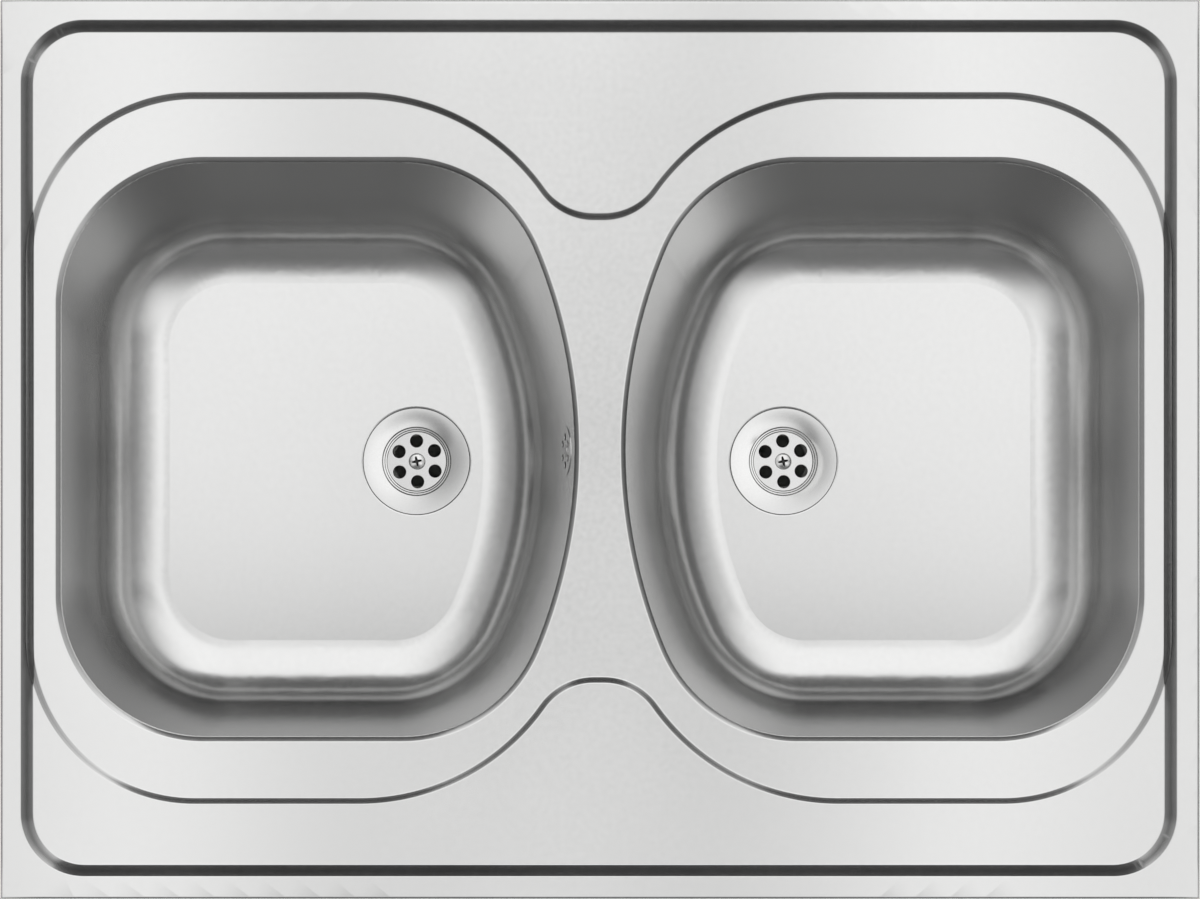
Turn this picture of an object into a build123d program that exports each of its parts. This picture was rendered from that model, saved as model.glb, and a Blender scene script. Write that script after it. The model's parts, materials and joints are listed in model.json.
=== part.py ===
from build123d import *
import math
import os

# Double bowl lay-on kitchen sink, in millimetres. +Z is up and +Y is the back.
# The origin is the middle of the plane that rests on the cabinet's top edges.

# Sink top: one pressed sheet with a folded edge
sheet = 0.8
top_width = 800.0
top_depth = 600.0
rim_height = 30.0
edge_radius = 3.0
return_width = 12.0
rim_border = 14.3
rim_corner = 42.0
deck_drop = 6.0
step_run = 8.0

# Sunk ledge around the two bowls, measured where it leaves the deck
ledge_drop = 3.0
ledge_depth = 476.0
ledge_edge_margin = 7.0
ledge_middle_reach = 8.0
ledge_side_corner = 127.0
ledge_shoulder = 152.0
waist_depth = 314.0
waist_flat = 6.7

# Bowls: outline of the mouth, and how far each wall leans in over the depth
land_between_bowls = 25.8
mouth_ledge_margin = 27.3
mouth_depth = 393.6
mouth_corner = 100.0
mouth_bulge = 352.0
mouth_radius = 4.5
collar_height = 1.0
bowl_depth = 150.0
side_lean = 18.0
middle_lean = 30.0
back_lean = 42.0
front_lean = 19.0
floor_corner = 85.0
floor_bulge = 262.0
floor_radius = 44.0

# Sound pads glued under the bowl floors
pad_margin = 12.6
pad_depth = 190.0
pad_thickness = 3.0
pad_corner = 8.0

# Drain seat in each floor
drain_inset = 82.6
drain_shift = -8.4
drain_hole_radius = 26.0
seat_width = 13.0
seat_drop = 3.6

# Strainer and what clamps it
flange_margin = 2.5
flange_inner_margin = 1.5
strainer_step = 2.2
strainer_step_width = 1.9
strainer_depth = 7.0
grid_thickness = 1.2
grid_holes = 6
grid_hole_radius = 4.5
grid_hole_circle = 14.5
grid_turn = 1.5
seal_thickness = 1.0
seal_inset = 1.5
cup_clearance = 0.6
lower_gasket_thickness = 2.0
strainer_screw_radius = 3.0
strainer_screw_length = 24.0
strainer_head_radius = 5.8
strainer_head_height = 2.4
screw_clearance = 0.3
cross_recess_share = 1.2
cross_recess_width = 1.5
cross_recess_depth = 1.4
screw_head_edge = 0.6

# Plastic waste body under each bowl
pipe_radius = 20.0
pipe_wall = 1.8
socket_clearance = 0.3
thread_clearance = 0.15
plastic_wall = 2.8
waste_flange_thickness = 3.5
waste_cup_depth = 27.0
waste_thread_overhang = 3.9
waste_thread_length = 20.0
hub_depth = 9.0
hub_radius = 7.5
hub_height = 15.0
hub_rib = 2.6
hub_ribs = 3
hub_turn = 60.0
insert_width = 10.0
insert_height = 5.0
insert_clearance = 0.05

# Pipes, nuts and washers of the waste run
arm_drop = 39.2
arm_bend = 34.0
arm_stop = 16.0
collar_thickness = 3.0
flat_washer_thickness = 2.0
nut_wall = 4.2
nut_lip = 3.0
nut_reach = 14.0
nut_ribs = 16
nut_rib_width = 2.4
nut_rib_height = 1.2
washer_length = 3.6
washer_clearance = 0.05
tee_half_length = 42.0
tee_spigot_length = 66.0

# Bottle trap
socket_wall = 4.2
trap_neck_drop = 41.0
trap_neck_length = 16.0
trap_chamber_length = 50.0
trap_radius = 38.0
trap_shoulder = 2.0
trap_mouth_inset = 2.4
trap_mouth_length = 18.0
dip_tube_reach = 16.0
outlet_drop = 25.0
outlet_socket_end = 70.0
cup_overhang = 0.9
cup_collar_wall = 4.0
cup_collar_reach = 6.0
cup_length = 65.0
cup_corner = 14.0
cup_seal_thickness = 2.0
cup_ribs = 20
outlet_insertion = 20.0
outlet_length = 155.0
outlet_free_end = 45.0
outlet_bead = 1.0
outlet_bead_width = 2.5

# Overflow in the left bowl
overflow_level = -10.0
overflow_shift = -1.0
overflow_hole_radius = 13.0
rosette_radius = 17.0
rosette_thickness = 1.6
rosette_holes = 6
rosette_hole_radius = 2.6
rosette_hole_circle = 9.5
overflow_screw_radius = 2.5
overflow_screw_length = 19.0
overflow_head_radius = 4.2
overflow_head_height = 2.0
overflow_gasket_thickness = 2.0
overflow_gasket_gap = 0.1
overflow_flange_radius = 20.0
overflow_flange_thickness = 3.0
overflow_chamber_radius = 15.0
overflow_chamber_depth = 22.0
overflow_boss_radius = 4.5
overflow_wall = 2.2
tail_radius = 10.0
tail_length = 39.0
tail_bore = 7.8
overflow_pipe_radius = 8.0
overflow_pipe_wall = 1.5
overflow_bend = 24.0
overflow_collar_thickness = 2.0
overflow_washer_thickness = 1.5
port_depth = 15.0
port_end = 50.0
small_nut_wall = 3.0
small_nut_reach = 10.0

# Fixing brackets that hook over the folded return
cabinet_panel = 16.0
bracket_thickness = 1.5
bracket_length = 45.0
bracket_drop = 38.0
bracket_hook = 11.0
bracket_clearance = 0.1
bracket_place = 150.0
bracket_slot_width = 5.4
bracket_slot_length = 24.0
bracket_slot_angle = 20.0

# Levels and places that follow from the sizes above
deck_level = rim_height - deck_drop
ledge_level = deck_level - ledge_drop
ledge_side_reach = top_width / 2 - ledge_edge_margin
shoulder_x = ledge_middle_reach + ledge_shoulder
waist_rise = waist_depth / 2 - ledge_depth / 2 + ledge_shoulder
waist_radius = (shoulder_x - waist_flat / 2) ** 2 + waist_rise**2 - ledge_shoulder**2
waist_radius /= 2 * (ledge_shoulder - waist_rise)
weld_level = ledge_level - mouth_radius - collar_height
floor_level = rim_height - bowl_depth
weld_side = ledge_side_reach - mouth_ledge_margin - mouth_radius
weld_middle = land_between_bowls / 2 + mouth_radius
weld_half_depth = mouth_depth / 2 - mouth_radius
drain_place = weld_middle + middle_lean + drain_inset
seat_radius = drain_hole_radius + seat_width
pad_inner = drain_place + seat_radius + pad_margin
pad_outer = weld_side - side_lean - floor_radius - pad_margin
flange_radius = seat_radius - flange_margin
flange_inner_radius = drain_hole_radius - flange_inner_margin
seat_slope = seat_drop / (seat_radius - drain_hole_radius)
seal_inner = drain_hole_radius + seal_inset
seal_outer = flange_radius - seal_inset
pipe_bore = pipe_radius - pipe_wall
socket_radius = pipe_radius + socket_clearance
waste_thread_radius = pipe_radius + waste_thread_overhang
trap_thread_radius = socket_radius + socket_wall
trap_mouth_radius = trap_radius - trap_mouth_inset
cup_radius = trap_mouth_radius + cup_overhang
cup_collar_radius = cup_radius + cup_collar_wall
grid_level = floor_level - seat_slope * (seat_radius - flange_radius) + seal_thickness + sheet
grid_level -= strainer_depth
waste_top = floor_level - seat_slope * (seat_radius - seal_inner) - sheet - lower_gasket_thickness
cup_floor = waste_top - waste_cup_depth
waste_outlet_end = cup_floor - plastic_wall - waste_thread_length
hub_top = waste_top - hub_depth
port_level = waste_top - port_depth
arm_level = waste_outlet_end - arm_drop
trap_neck_top = arm_level - trap_neck_drop
trap_chamber_top = trap_neck_top - trap_neck_length
trap_chamber_bottom = trap_chamber_top - trap_chamber_length
trap_mouth_bottom = trap_chamber_bottom - trap_mouth_length
dip_tube_bottom = trap_mouth_bottom - dip_tube_reach
outlet_level = trap_chamber_top - outlet_drop
cup_collar_bottom = trap_mouth_bottom - cup_collar_reach
cup_bottom = trap_mouth_bottom - cup_length
rosette_gap = rosette_radius**2 / (2 * floor_bulge)


def save(part, name):
    """Label one finished piece and write it under its own name."""
    part.label = name
    export_step(part, f"parts/{name}.step")


def seat_level(radius):
    """Height of the drain seat's upper surface at a radius from the drain's axis."""
    return floor_level - seat_slope * (seat_radius - radius)


def upright_plane(x, y):
    """Plane through a vertical axis, for profiles that are turned around it."""
    return Plane(origin=(x, y, 0), x_dir=(1, 0, 0), z_dir=(0, -1, 0))


def turned(plane, points):
    """Solid of revolution: points are (radius, height) around the plane's own Y axis."""
    with BuildPart() as solid:
        with BuildSketch(plane):
            with BuildLine():
                Polyline(*points, close=True)
            make_face()
        revolve(axis=Axis(plane.origin, plane.y_dir))
    return solid.part


def tube(plane, outer, inner, start, end):
    """Straight tube along the plane's normal between two distances from it."""
    with BuildPart() as solid:
        with BuildSketch(plane.offset(start)):
            Circle(outer)
            Circle(inner, mode=Mode.SUBTRACT)
        extrude(amount=end - start)
    return solid.part


def bent_tube(points, bend, outer, inner):
    """Tube along straight runs that are joined by tangent arcs."""
    with BuildPart() as solid:
        with BuildLine():
            route = FilletPolyline(*points, radius=bend)
        with BuildSketch(Plane(origin=route @ 0, z_dir=route % 0)):
            Circle(outer)
            Circle(inner, mode=Mode.SUBTRACT)
        sweep()
    return solid.part


def drain_plane(side, level):
    """Level plane on one bowl's drain axis."""
    return Plane((side * drain_place, drain_shift, level))


def drain_profile_plane(side):
    """Plane through one bowl's drain axis."""
    return upright_plane(side * drain_place, drain_shift)


# Sink top


def ledge_field(plane, side, spread):
    """The ledge's rounded field around one bowl."""
    width = ledge_side_reach - ledge_middle_reach + 2 * spread
    place = (ledge_side_reach + ledge_middle_reach) / 2
    with BuildSketch(plane) as field:
        with Locations((side * place, 0)):
            Rectangle(width, ledge_depth + 2 * spread)
        corners = field.vertices().sort_by(Axis.X)
        fillet(corners[:2] if side < 0 else corners[2:], radius=ledge_side_corner + spread)
        inner_x = side * (ledge_middle_reach - spread)
        corners = field.vertices().filter_by_position(Axis.X, inner_x - 1, inner_x + 1)
        fillet(corners, radius=ledge_shoulder + spread)
    return field.sketch


def ledge_outline(plane, spread):
    """Ledge seen from above: a rounded field round each bowl, joined at a narrower waist."""
    with BuildSketch(plane) as outline:
        add(ledge_field(plane, -1, spread))
        add(ledge_field(plane, 1, spread))
        Rectangle(ledge_side_reach, waist_depth + 2 * spread)
        notches = outline.vertices().filter_by_position(
            Axis.X, -ledge_shoulder / 2, ledge_shoulder / 2
        )
        fillet(notches, radius=waist_radius - spread)
    return outline.sketch


def mouth_outline(plane, spread):
    """Left bowl's outline at the weld: straight sides and a bulged middle side."""
    side = weld_side + spread
    middle = weld_middle - spread
    bulge = mouth_bulge - mouth_radius + spread
    with BuildSketch(plane) as outline:
        with Locations((-(side + middle) / 2, 0)):
            Rectangle(side - middle, 2 * (weld_half_depth + spread))
        with Locations((-middle - bulge, 0)):
            Circle(bulge, mode=Mode.INTERSECT)
        fillet(outline.vertices(), radius=mouth_corner - mouth_radius + spread)
    return outline.sketch


def rim_outline(plane, spread):
    """Edge of the flat rim, where the step to the deck starts."""
    with BuildSketch(plane) as outline:
        RectangleRounded(
            top_width - 2 * rim_border + 2 * spread,
            top_depth - 2 * rim_border + 2 * spread,
            rim_corner + spread,
        )
    return outline.sketch


def top_form(skin):
    """Solid below the top's upper surface, with that surface sunk by the skin."""
    full_drop = deck_drop + ledge_drop
    step_angle = math.atan2(deck_drop, step_run)
    ledge_angle = math.atan2(full_drop, step_run)
    step_spread = skin * math.tan(step_angle / 2)
    ledge_spread = skin * math.tan(ledge_angle / 2)
    ledge_overrun = step_run * deck_drop / full_drop
    rim_plane = Plane.XY.offset(rim_height - skin)
    left_mouth = mouth_outline(Plane.XY.offset(ledge_level - skin), skin)
    right_mouth = mirror(left_mouth, about=Plane.YZ)
    with BuildPart() as form:
        with BuildSketch():
            Rectangle(top_width - 2 * skin, top_depth - 2 * skin)
        extrude(amount=rim_height - skin)
        fillet(form.faces().sort_by(Axis.Z)[-1].edges(), radius=edge_radius - skin)
        add(rim_outline(rim_plane, step_spread))
        extrude(amount=-deck_drop, taper=90 - math.degrees(step_angle), mode=Mode.SUBTRACT)
        with BuildSketch(rim_plane):
            add(ledge_outline(rim_plane, ledge_overrun + ledge_spread))
            add(rim_outline(rim_plane, ledge_spread), mode=Mode.INTERSECT)
        extrude(amount=-full_drop, taper=90 - math.degrees(ledge_angle), mode=Mode.SUBTRACT)
        for mouth in (left_mouth, right_mouth):
            add(mouth)
            extrude(amount=-rim_height, mode=Mode.SUBTRACT)
            mouth_edges = form.edges(Select.LAST).group_by(Axis.Z)[-1]
            fillet(mouth_edges, radius=mouth_radius - skin)
    return form.part


def make_sink_top():
    """Pressed top with its collars, folded skirt and inward return."""
    with BuildPart() as sink_top:
        add(top_form(0))
        add(top_form(sheet), mode=Mode.SUBTRACT)
        with BuildSketch():
            Rectangle(top_width - 2 * sheet, top_depth - 2 * sheet)
        extrude(amount=weld_level, mode=Mode.SUBTRACT)
        with BuildSketch():
            Rectangle(top_width, top_depth)
            Rectangle(
                top_width - 2 * return_width,
                top_depth - 2 * return_width,
                mode=Mode.SUBTRACT,
            )
        extrude(amount=sheet)
    return sink_top.part


# Bowls


def bowl_form(skin):
    """Solid that fills the left bowl, grown outwards by the skin."""
    floor_side = weld_side - side_lean + skin
    floor_middle = weld_middle + middle_lean - skin
    floor_back = weld_half_depth - back_lean + skin
    floor_front = -weld_half_depth + front_lean - skin
    centre_y = (floor_back + floor_front) / 2
    with BuildSketch(Plane.XY.offset(floor_level - skin)) as floor:
        with Locations((-(floor_side + floor_middle) / 2, centre_y)):
            Rectangle(floor_side - floor_middle, floor_back - floor_front)
        with Locations((-floor_middle - floor_bulge, centre_y)):
            Circle(floor_bulge, mode=Mode.INTERSECT)
        fillet(floor.vertices(), radius=floor_corner + skin)
    seat_profile = [
        (0, floor_level + seat_drop),
        (0, floor_level - seat_drop - skin),
        (drain_hole_radius, floor_level - seat_drop - skin),
        (seat_radius, floor_level - skin),
        (seat_radius, floor_level + seat_drop),
    ]
    with BuildPart() as form:
        add(mouth_outline(Plane.XY.offset(weld_level), skin))
        add(floor.sketch)
        loft(ruled=True)
        fillet(form.faces().sort_by(Axis.Z)[0].edges(), radius=floor_radius + skin)
        add(turned(drain_profile_plane(-1), seat_profile))
    return form.part


def make_bowl():
    """Left bowl's shell, open at the weld and at the drain."""
    with BuildPart() as bowl:
        add(bowl_form(sheet))
        add(bowl_form(0), mode=Mode.SUBTRACT)
        with BuildSketch(drain_plane(-1, floor_level)):
            Circle(drain_hole_radius)
        extrude(amount=-2 * seat_drop, mode=Mode.SUBTRACT)
    return bowl.part


def make_sound_pad(side):
    """Damping pad on the flat of the floor, beside the drain."""
    pad_place = side * (pad_inner + pad_outer) / 2
    with BuildPart() as sound_pad:
        with BuildSketch(Plane((pad_place, drain_shift, floor_level - sheet))):
            RectangleRounded(pad_outer - pad_inner, pad_depth, pad_corner)
        extrude(amount=-pad_thickness)
    return sound_pad.part


# Strainer, seals and waste body, on one vertical axis under each bowl


def make_strainer(side):
    """Dished flange that steps down to a grid of holes."""
    outer_top = seat_level(flange_radius) + seal_thickness + sheet
    inner_top = seat_level(flange_inner_radius) + seal_thickness + sheet
    step_radius = flange_inner_radius - strainer_step_width
    cup_outer = drain_hole_radius - cup_clearance
    profile = [
        (flange_radius, outer_top),
        (flange_inner_radius, inner_top),
        (flange_inner_radius, inner_top - strainer_step),
        (step_radius, inner_top - strainer_step),
        (step_radius, grid_level),
        (0, grid_level),
        (0, grid_level - grid_thickness),
        (step_radius, grid_level - grid_thickness),
        (cup_outer, grid_level),
        (cup_outer, seat_level(cup_outer) + seal_thickness),
        (flange_radius, outer_top - sheet),
    ]
    with BuildPart() as strainer:
        add(turned(drain_profile_plane(side), profile))
        with BuildSketch(drain_plane(side, grid_level)):
            with PolarLocations(grid_hole_circle, grid_holes, start_angle=90 + grid_turn):
                Circle(grid_hole_radius)
            Circle(strainer_screw_radius + screw_clearance)
        extrude(amount=-grid_thickness, mode=Mode.SUBTRACT)
    return strainer.part


def make_strainer_seal(side):
    """Thin ring between the strainer's flange and the seat."""
    with BuildPart() as seal:
        add(
            turned(
                drain_profile_plane(side),
                [
                    (seal_inner, seat_level(seal_inner)),
                    (seal_outer, seat_level(seal_outer)),
                    (seal_outer, seat_level(seal_outer) + seal_thickness),
                    (seal_inner, seat_level(seal_inner) + seal_thickness),
                ],
            )
        )
    return seal.part


def make_waste_gasket(side):
    """Ring between the seat's conical underside and the flat waste flange."""
    with BuildPart() as gasket:
        add(
            turned(
                drain_profile_plane(side),
                [
                    (seal_inner, waste_top),
                    (seal_outer, waste_top),
                    (seal_outer, seat_level(seal_outer) - sheet),
                    (seal_inner, seat_level(seal_inner) - sheet),
                ],
            )
        )
    return gasket.part


def make_screw(plane, head_radius, head_height, radius, length):
    """Domed cross-recess screw: the head sits on the plane and the shank points down it."""
    with BuildPart() as screw:
        with BuildSketch(plane):
            Circle(head_radius)
        extrude(amount=head_height)
        dome = screw.edges().sort_by(Axis(plane.origin, plane.z_dir))[-1]
        fillet(dome, radius=head_height - screw_head_edge)
        with BuildSketch(plane):
            Circle(radius)
        extrude(amount=-length)
        with BuildSketch(plane.offset(head_height)):
            Rectangle(cross_recess_share * head_radius, cross_recess_width)
            Rectangle(cross_recess_width, cross_recess_share * head_radius)
        extrude(amount=-cross_recess_depth, mode=Mode.SUBTRACT)
    return screw.part


def make_waste_body(side):
    """Flanged cup with a ribbed hub for the insert and a threaded outlet below."""
    cup_inner = drain_hole_radius
    cup_outer = cup_inner + plastic_wall
    profile = [
        (cup_inner, waste_top),
        (seal_outer + plastic_wall, waste_top),
        (seal_outer + plastic_wall, waste_top - waste_flange_thickness),
        (cup_outer, waste_top - waste_flange_thickness),
        (cup_outer, cup_floor),
        (waste_thread_radius, cup_floor - plastic_wall),
        (waste_thread_radius, waste_outlet_end),
        (pipe_bore, waste_outlet_end),
        (pipe_bore, cup_floor),
        (cup_inner, cup_floor + plastic_wall),
    ]
    rib_reach = cup_inner + hub_radius
    with BuildPart() as waste_body:
        add(turned(drain_profile_plane(side), profile))
        with BuildSketch(drain_plane(side, hub_top)):
            Circle(hub_radius)
            with PolarLocations(rib_reach / 2, hub_ribs, start_angle=hub_turn):
                Rectangle(cup_outer - hub_radius, hub_rib)
        extrude(amount=-hub_height)
        with BuildSketch(drain_plane(side, hub_top)):
            RegularPolygon(insert_width / 2 + insert_clearance, 6, major_radius=False)
        extrude(amount=-insert_height, mode=Mode.SUBTRACT)
        with BuildSketch(drain_plane(side, hub_top)):
            Circle(strainer_screw_radius + screw_clearance)
        extrude(amount=-hub_height, mode=Mode.SUBTRACT)
    return waste_body.part


def add_overflow_port(body):
    """Waste body with the threaded side port that takes the overflow pipe."""
    with BuildPart() as waste_body:
        add(body)
        add(tube(port_plane, tail_radius, tail_bore, drain_hole_radius + plastic_wall / 2, port_end))
        with BuildSketch(port_plane.offset(hub_radius + plastic_wall)):
            Circle(tail_bore)
        extrude(amount=drain_hole_radius, mode=Mode.SUBTRACT)
    return waste_body.part


def make_insert_nut(side):
    """Brass hexagon in the hub that the strainer's screw pulls on."""
    with BuildPart() as insert_nut:
        with BuildSketch(drain_plane(side, hub_top)):
            RegularPolygon(insert_width / 2, 6, major_radius=False)
            Circle(strainer_screw_radius + insert_clearance, mode=Mode.SUBTRACT)
        extrude(amount=-insert_height)
    return insert_nut.part


# Nuts and washers: each plane stands on a socket's end and faces out along the pipe


def make_nut(plane, thread_radius, passage_radius, gap, reach, wall):
    """Ribbed nut round a threaded end, with a lip that closes on the pipe beyond it."""
    inner = thread_radius + thread_clearance
    with BuildPart() as nut:
        with BuildSketch(plane.offset(-reach)):
            Circle(inner + wall)
        extrude(amount=reach + gap + nut_lip)
        far_edge = nut.edges().sort_by(Axis(plane.origin, plane.z_dir))[-1]
        chamfer(far_edge, length=nut_lip / 2)
        with BuildSketch(plane.offset(-reach)):
            with PolarLocations(inner + wall, nut_ribs):
                Rectangle(2 * nut_rib_height, nut_rib_width)
        extrude(amount=reach + gap)
        with BuildSketch(plane.offset(-reach)):
            Circle(inner)
        extrude(amount=reach + gap, mode=Mode.SUBTRACT)
        with BuildSketch(plane):
            Circle(passage_radius + socket_clearance)
        extrude(amount=gap + nut_lip, mode=Mode.SUBTRACT)
    return nut.part


def make_pipe_nut(plane):
    """Nut that squeezes a cone washer on a pipe."""
    return make_nut(plane, trap_thread_radius, pipe_radius, washer_length, nut_reach, nut_wall)


def make_cone_washer(plane):
    """Washer round the pipe, tapered where the nut's lip presses it."""
    with BuildPart() as washer:
        inner = pipe_radius + washer_clearance
        add(tube(plane, trap_thread_radius, inner, 0, washer_length))
        far_face = washer.faces().sort_by(Axis(plane.origin, plane.z_dir))[-1]
        chamfer(far_face.edges().sort_by(SortBy.RADIUS)[-1], length=washer_length / 2)
    return washer.part


def outlet_plane(side):
    """Plane on a waste body's outlet end, facing down."""
    return Plane(
        origin=(side * drain_place, drain_shift, waste_outlet_end),
        x_dir=(1, 0, 0),
        z_dir=(0, 0, -1),
    )


def make_coupling_nut(side):
    gap = flat_washer_thickness + collar_thickness
    return make_nut(outlet_plane(side), waste_thread_radius, pipe_radius, gap, nut_reach, nut_wall)


def make_flat_washer(side):
    """Flat ring between the waste outlet and the elbow's collar."""
    return tube(outlet_plane(side), waste_thread_radius, pipe_bore, 0, flat_washer_thickness)


def make_elbow(side):
    """Collared pipe from a waste outlet, round one bend and into the tee."""
    start = outlet_plane(side).offset(flat_washer_thickness)
    route = [
        start.origin,
        (side * drain_place, drain_shift, arm_level),
        (side * (arm_stop + socket_clearance), drain_shift, arm_level),
    ]
    with BuildPart() as elbow:
        add(bent_tube(route, arm_bend, pipe_radius, pipe_bore))
        add(tube(start, waste_thread_radius, pipe_bore, 0, collar_thickness))
    return elbow.part


def tee_plane(side):
    """Plane on one of the tee's socket ends, facing out."""
    return Plane(
        origin=(side * tee_half_length, drain_shift, arm_level),
        x_dir=(0, 1, 0),
        z_dir=(side, 0, 0),
    )


def make_tee():
    """Tee with a socket at each end and a spigot down into the trap."""
    run_plane = Plane(origin=(0, drain_shift, arm_level), x_dir=(0, 1, 0), z_dir=(1, 0, 0))
    spigot_plane = Plane(origin=(0, drain_shift, arm_level), x_dir=(1, 0, 0), z_dir=(0, 0, -1))
    with BuildPart() as tee:
        with BuildSketch(run_plane):
            Circle(trap_thread_radius)
        extrude(amount=tee_half_length, both=True)
        with BuildSketch(spigot_plane):
            Circle(pipe_radius)
        extrude(amount=tee_spigot_length)
        with BuildSketch(run_plane):
            Circle(pipe_bore)
        extrude(amount=tee_half_length, both=True, mode=Mode.SUBTRACT)
        with BuildSketch(spigot_plane):
            Circle(pipe_bore)
        extrude(amount=tee_spigot_length, mode=Mode.SUBTRACT)
        for side in (-1, 1):
            with BuildSketch(tee_plane(side)):
                Circle(socket_radius)
            extrude(amount=arm_stop - tee_half_length, mode=Mode.SUBTRACT)
    return tee.part


# Bottle trap, turned round one vertical axis below the tee


def make_trap_body():
    """Chamber with a socket neck, a dip tube and a threaded side outlet."""
    chamber_inner = trap_radius - plastic_wall
    mouth_inner = trap_mouth_radius - plastic_wall
    dip_outer = socket_radius + pipe_wall
    tee_stop = arm_level - tee_spigot_length - flat_washer_thickness
    outer_profile = [
        (0, trap_neck_top),
        (trap_thread_radius, trap_neck_top),
        (trap_thread_radius, trap_chamber_top),
        (trap_radius, trap_chamber_top),
        (trap_radius, trap_chamber_bottom),
        (trap_mouth_radius, trap_chamber_bottom),
        (trap_mouth_radius, trap_mouth_bottom),
        (dip_outer, trap_mouth_bottom),
        (dip_outer, dip_tube_bottom),
        (0, dip_tube_bottom),
    ]
    chamber_profile = [
        (dip_outer, trap_chamber_top - plastic_wall),
        (chamber_inner, trap_chamber_top - plastic_wall),
        (chamber_inner, trap_chamber_bottom + plastic_wall),
        (mouth_inner, trap_chamber_bottom),
        (mouth_inner, trap_mouth_bottom),
        (dip_outer, trap_mouth_bottom),
    ]
    bore_profile = [
        (0, trap_neck_top),
        (socket_radius, trap_neck_top),
        (socket_radius, tee_stop),
        (pipe_bore, tee_stop),
        (pipe_bore, dip_tube_bottom),
        (0, dip_tube_bottom),
    ]
    trap_axis = upright_plane(0, drain_shift)
    with BuildPart() as trap_body:
        add(turned(trap_axis, outer_profile))
        fillet(
            trap_body.edges().filter_by_position(Axis.Z, trap_chamber_top, trap_chamber_top)
            .sort_by(SortBy.RADIUS)[-1],
            radius=trap_shoulder,
        )
        with BuildSketch(trap_outlet_plane):
            Circle(trap_thread_radius)
        extrude(amount=outlet_socket_end)
        add(turned(trap_axis, chamber_profile), mode=Mode.SUBTRACT)
        add(turned(trap_axis, bore_profile), mode=Mode.SUBTRACT)
        with BuildSketch(trap_outlet_plane.offset(dip_outer + plastic_wall)):
            Circle(pipe_bore)
        extrude(amount=outlet_socket_end, mode=Mode.SUBTRACT)
        with BuildSketch(trap_outlet_plane.offset(outlet_socket_end)):
            Circle(socket_radius)
        extrude(amount=trap_radius + plastic_wall - outlet_socket_end, mode=Mode.SUBTRACT)
    return trap_body.part


def make_trap_cup():
    """Cup that screws up round the trap's mouth, with grip ribs on its collar."""
    collar_top = trap_chamber_bottom - socket_clearance
    ledge = trap_mouth_bottom - cup_seal_thickness
    trap_axis = upright_plane(0, drain_shift)
    with BuildPart() as hollow:
        add(
            turned(
                trap_axis,
                [
                    (0, ledge),
                    (cup_radius - plastic_wall, ledge),
                    (cup_radius - plastic_wall, cup_bottom + plastic_wall),
                    (0, cup_bottom + plastic_wall),
                ],
            )
        )
        fillet(hollow.edges().sort_by(Axis.Z)[0], radius=cup_corner - plastic_wall)
    with BuildPart() as trap_cup:
        with BuildSketch(Plane((0, drain_shift, cup_bottom))):
            Circle(cup_radius)
        extrude(amount=cup_collar_bottom - cup_bottom)
        fillet(trap_cup.edges().sort_by(Axis.Z)[0], radius=cup_corner)
        with BuildSketch(Plane((0, drain_shift, cup_collar_bottom))):
            Circle(cup_collar_radius)
            with PolarLocations(cup_collar_radius, cup_ribs):
                Rectangle(2 * nut_rib_height, nut_rib_width)
        extrude(amount=collar_top - cup_collar_bottom)
        with BuildSketch(Plane((0, drain_shift, ledge))):
            Circle(trap_mouth_radius + thread_clearance)
        extrude(amount=collar_top - ledge, mode=Mode.SUBTRACT)
        add(hollow.part, mode=Mode.SUBTRACT)
    return trap_cup.part


def make_cup_seal():
    """Flat ring on the cup's ledge, under the trap's mouth."""
    seal_plane = Plane((0, drain_shift, trap_mouth_bottom - cup_seal_thickness))
    inner = trap_mouth_radius - plastic_wall
    return tube(seal_plane, trap_mouth_radius, inner, 0, cup_seal_thickness)


def make_outlet_pipe():
    """Straight pipe that slides in the trap's side outlet, with a stop bead for the wall seal."""
    start = outlet_socket_end - outlet_insertion
    end = start + outlet_length
    bead_start = end - outlet_free_end - outlet_bead_width
    bead_end = end - outlet_free_end
    with BuildPart() as outlet_pipe:
        add(tube(trap_outlet_plane, pipe_radius, pipe_bore, start, end))
        add(tube(trap_outlet_plane, pipe_radius + outlet_bead, pipe_bore, bead_start, bead_end))
    return outlet_pipe.part


# Overflow, square to the left bowl's inner face


def find_overflow_plane():
    """Plane on the left bowl's inner face, facing into the bowl, with X along the depth."""
    wall_lean = middle_lean / (weld_level - floor_level)
    wall_x = -weld_middle - wall_lean * (weld_level - overflow_level)
    guess = Vector(wall_x, overflow_shift, overflow_level)
    wall = bowl_form(0).faces().sort_by_distance(guess)[0]
    return Plane(origin=guess, x_dir=(0, 1, 0), z_dir=-wall.normal_at(guess))


def cut_overflow_hole(bowl):
    """Left bowl with the overflow's round hole in its wall."""
    with BuildPart() as left_bowl:
        add(bowl)
        with BuildSketch(overflow_plane):
            Circle(overflow_hole_radius)
        extrude(amount=overflow_flange_thickness, both=True, mode=Mode.SUBTRACT)
    return left_bowl.part


def make_rosette():
    """Round cover with a ring of holes, just clear of the curved wall."""
    with BuildPart() as rosette:
        with BuildSketch(overflow_plane.offset(rosette_gap)):
            Circle(rosette_radius)
            with PolarLocations(rosette_hole_circle, rosette_holes):
                Circle(rosette_hole_radius, mode=Mode.SUBTRACT)
            Circle(overflow_screw_radius + screw_clearance, mode=Mode.SUBTRACT)
        extrude(amount=rosette_thickness)
        front = rosette.faces().sort_by(Axis(overflow_plane.origin, overflow_plane.z_dir))[-1]
        fillet(front.outer_wire().edges(), radius=rosette_thickness / 2)
    return rosette.part


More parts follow.
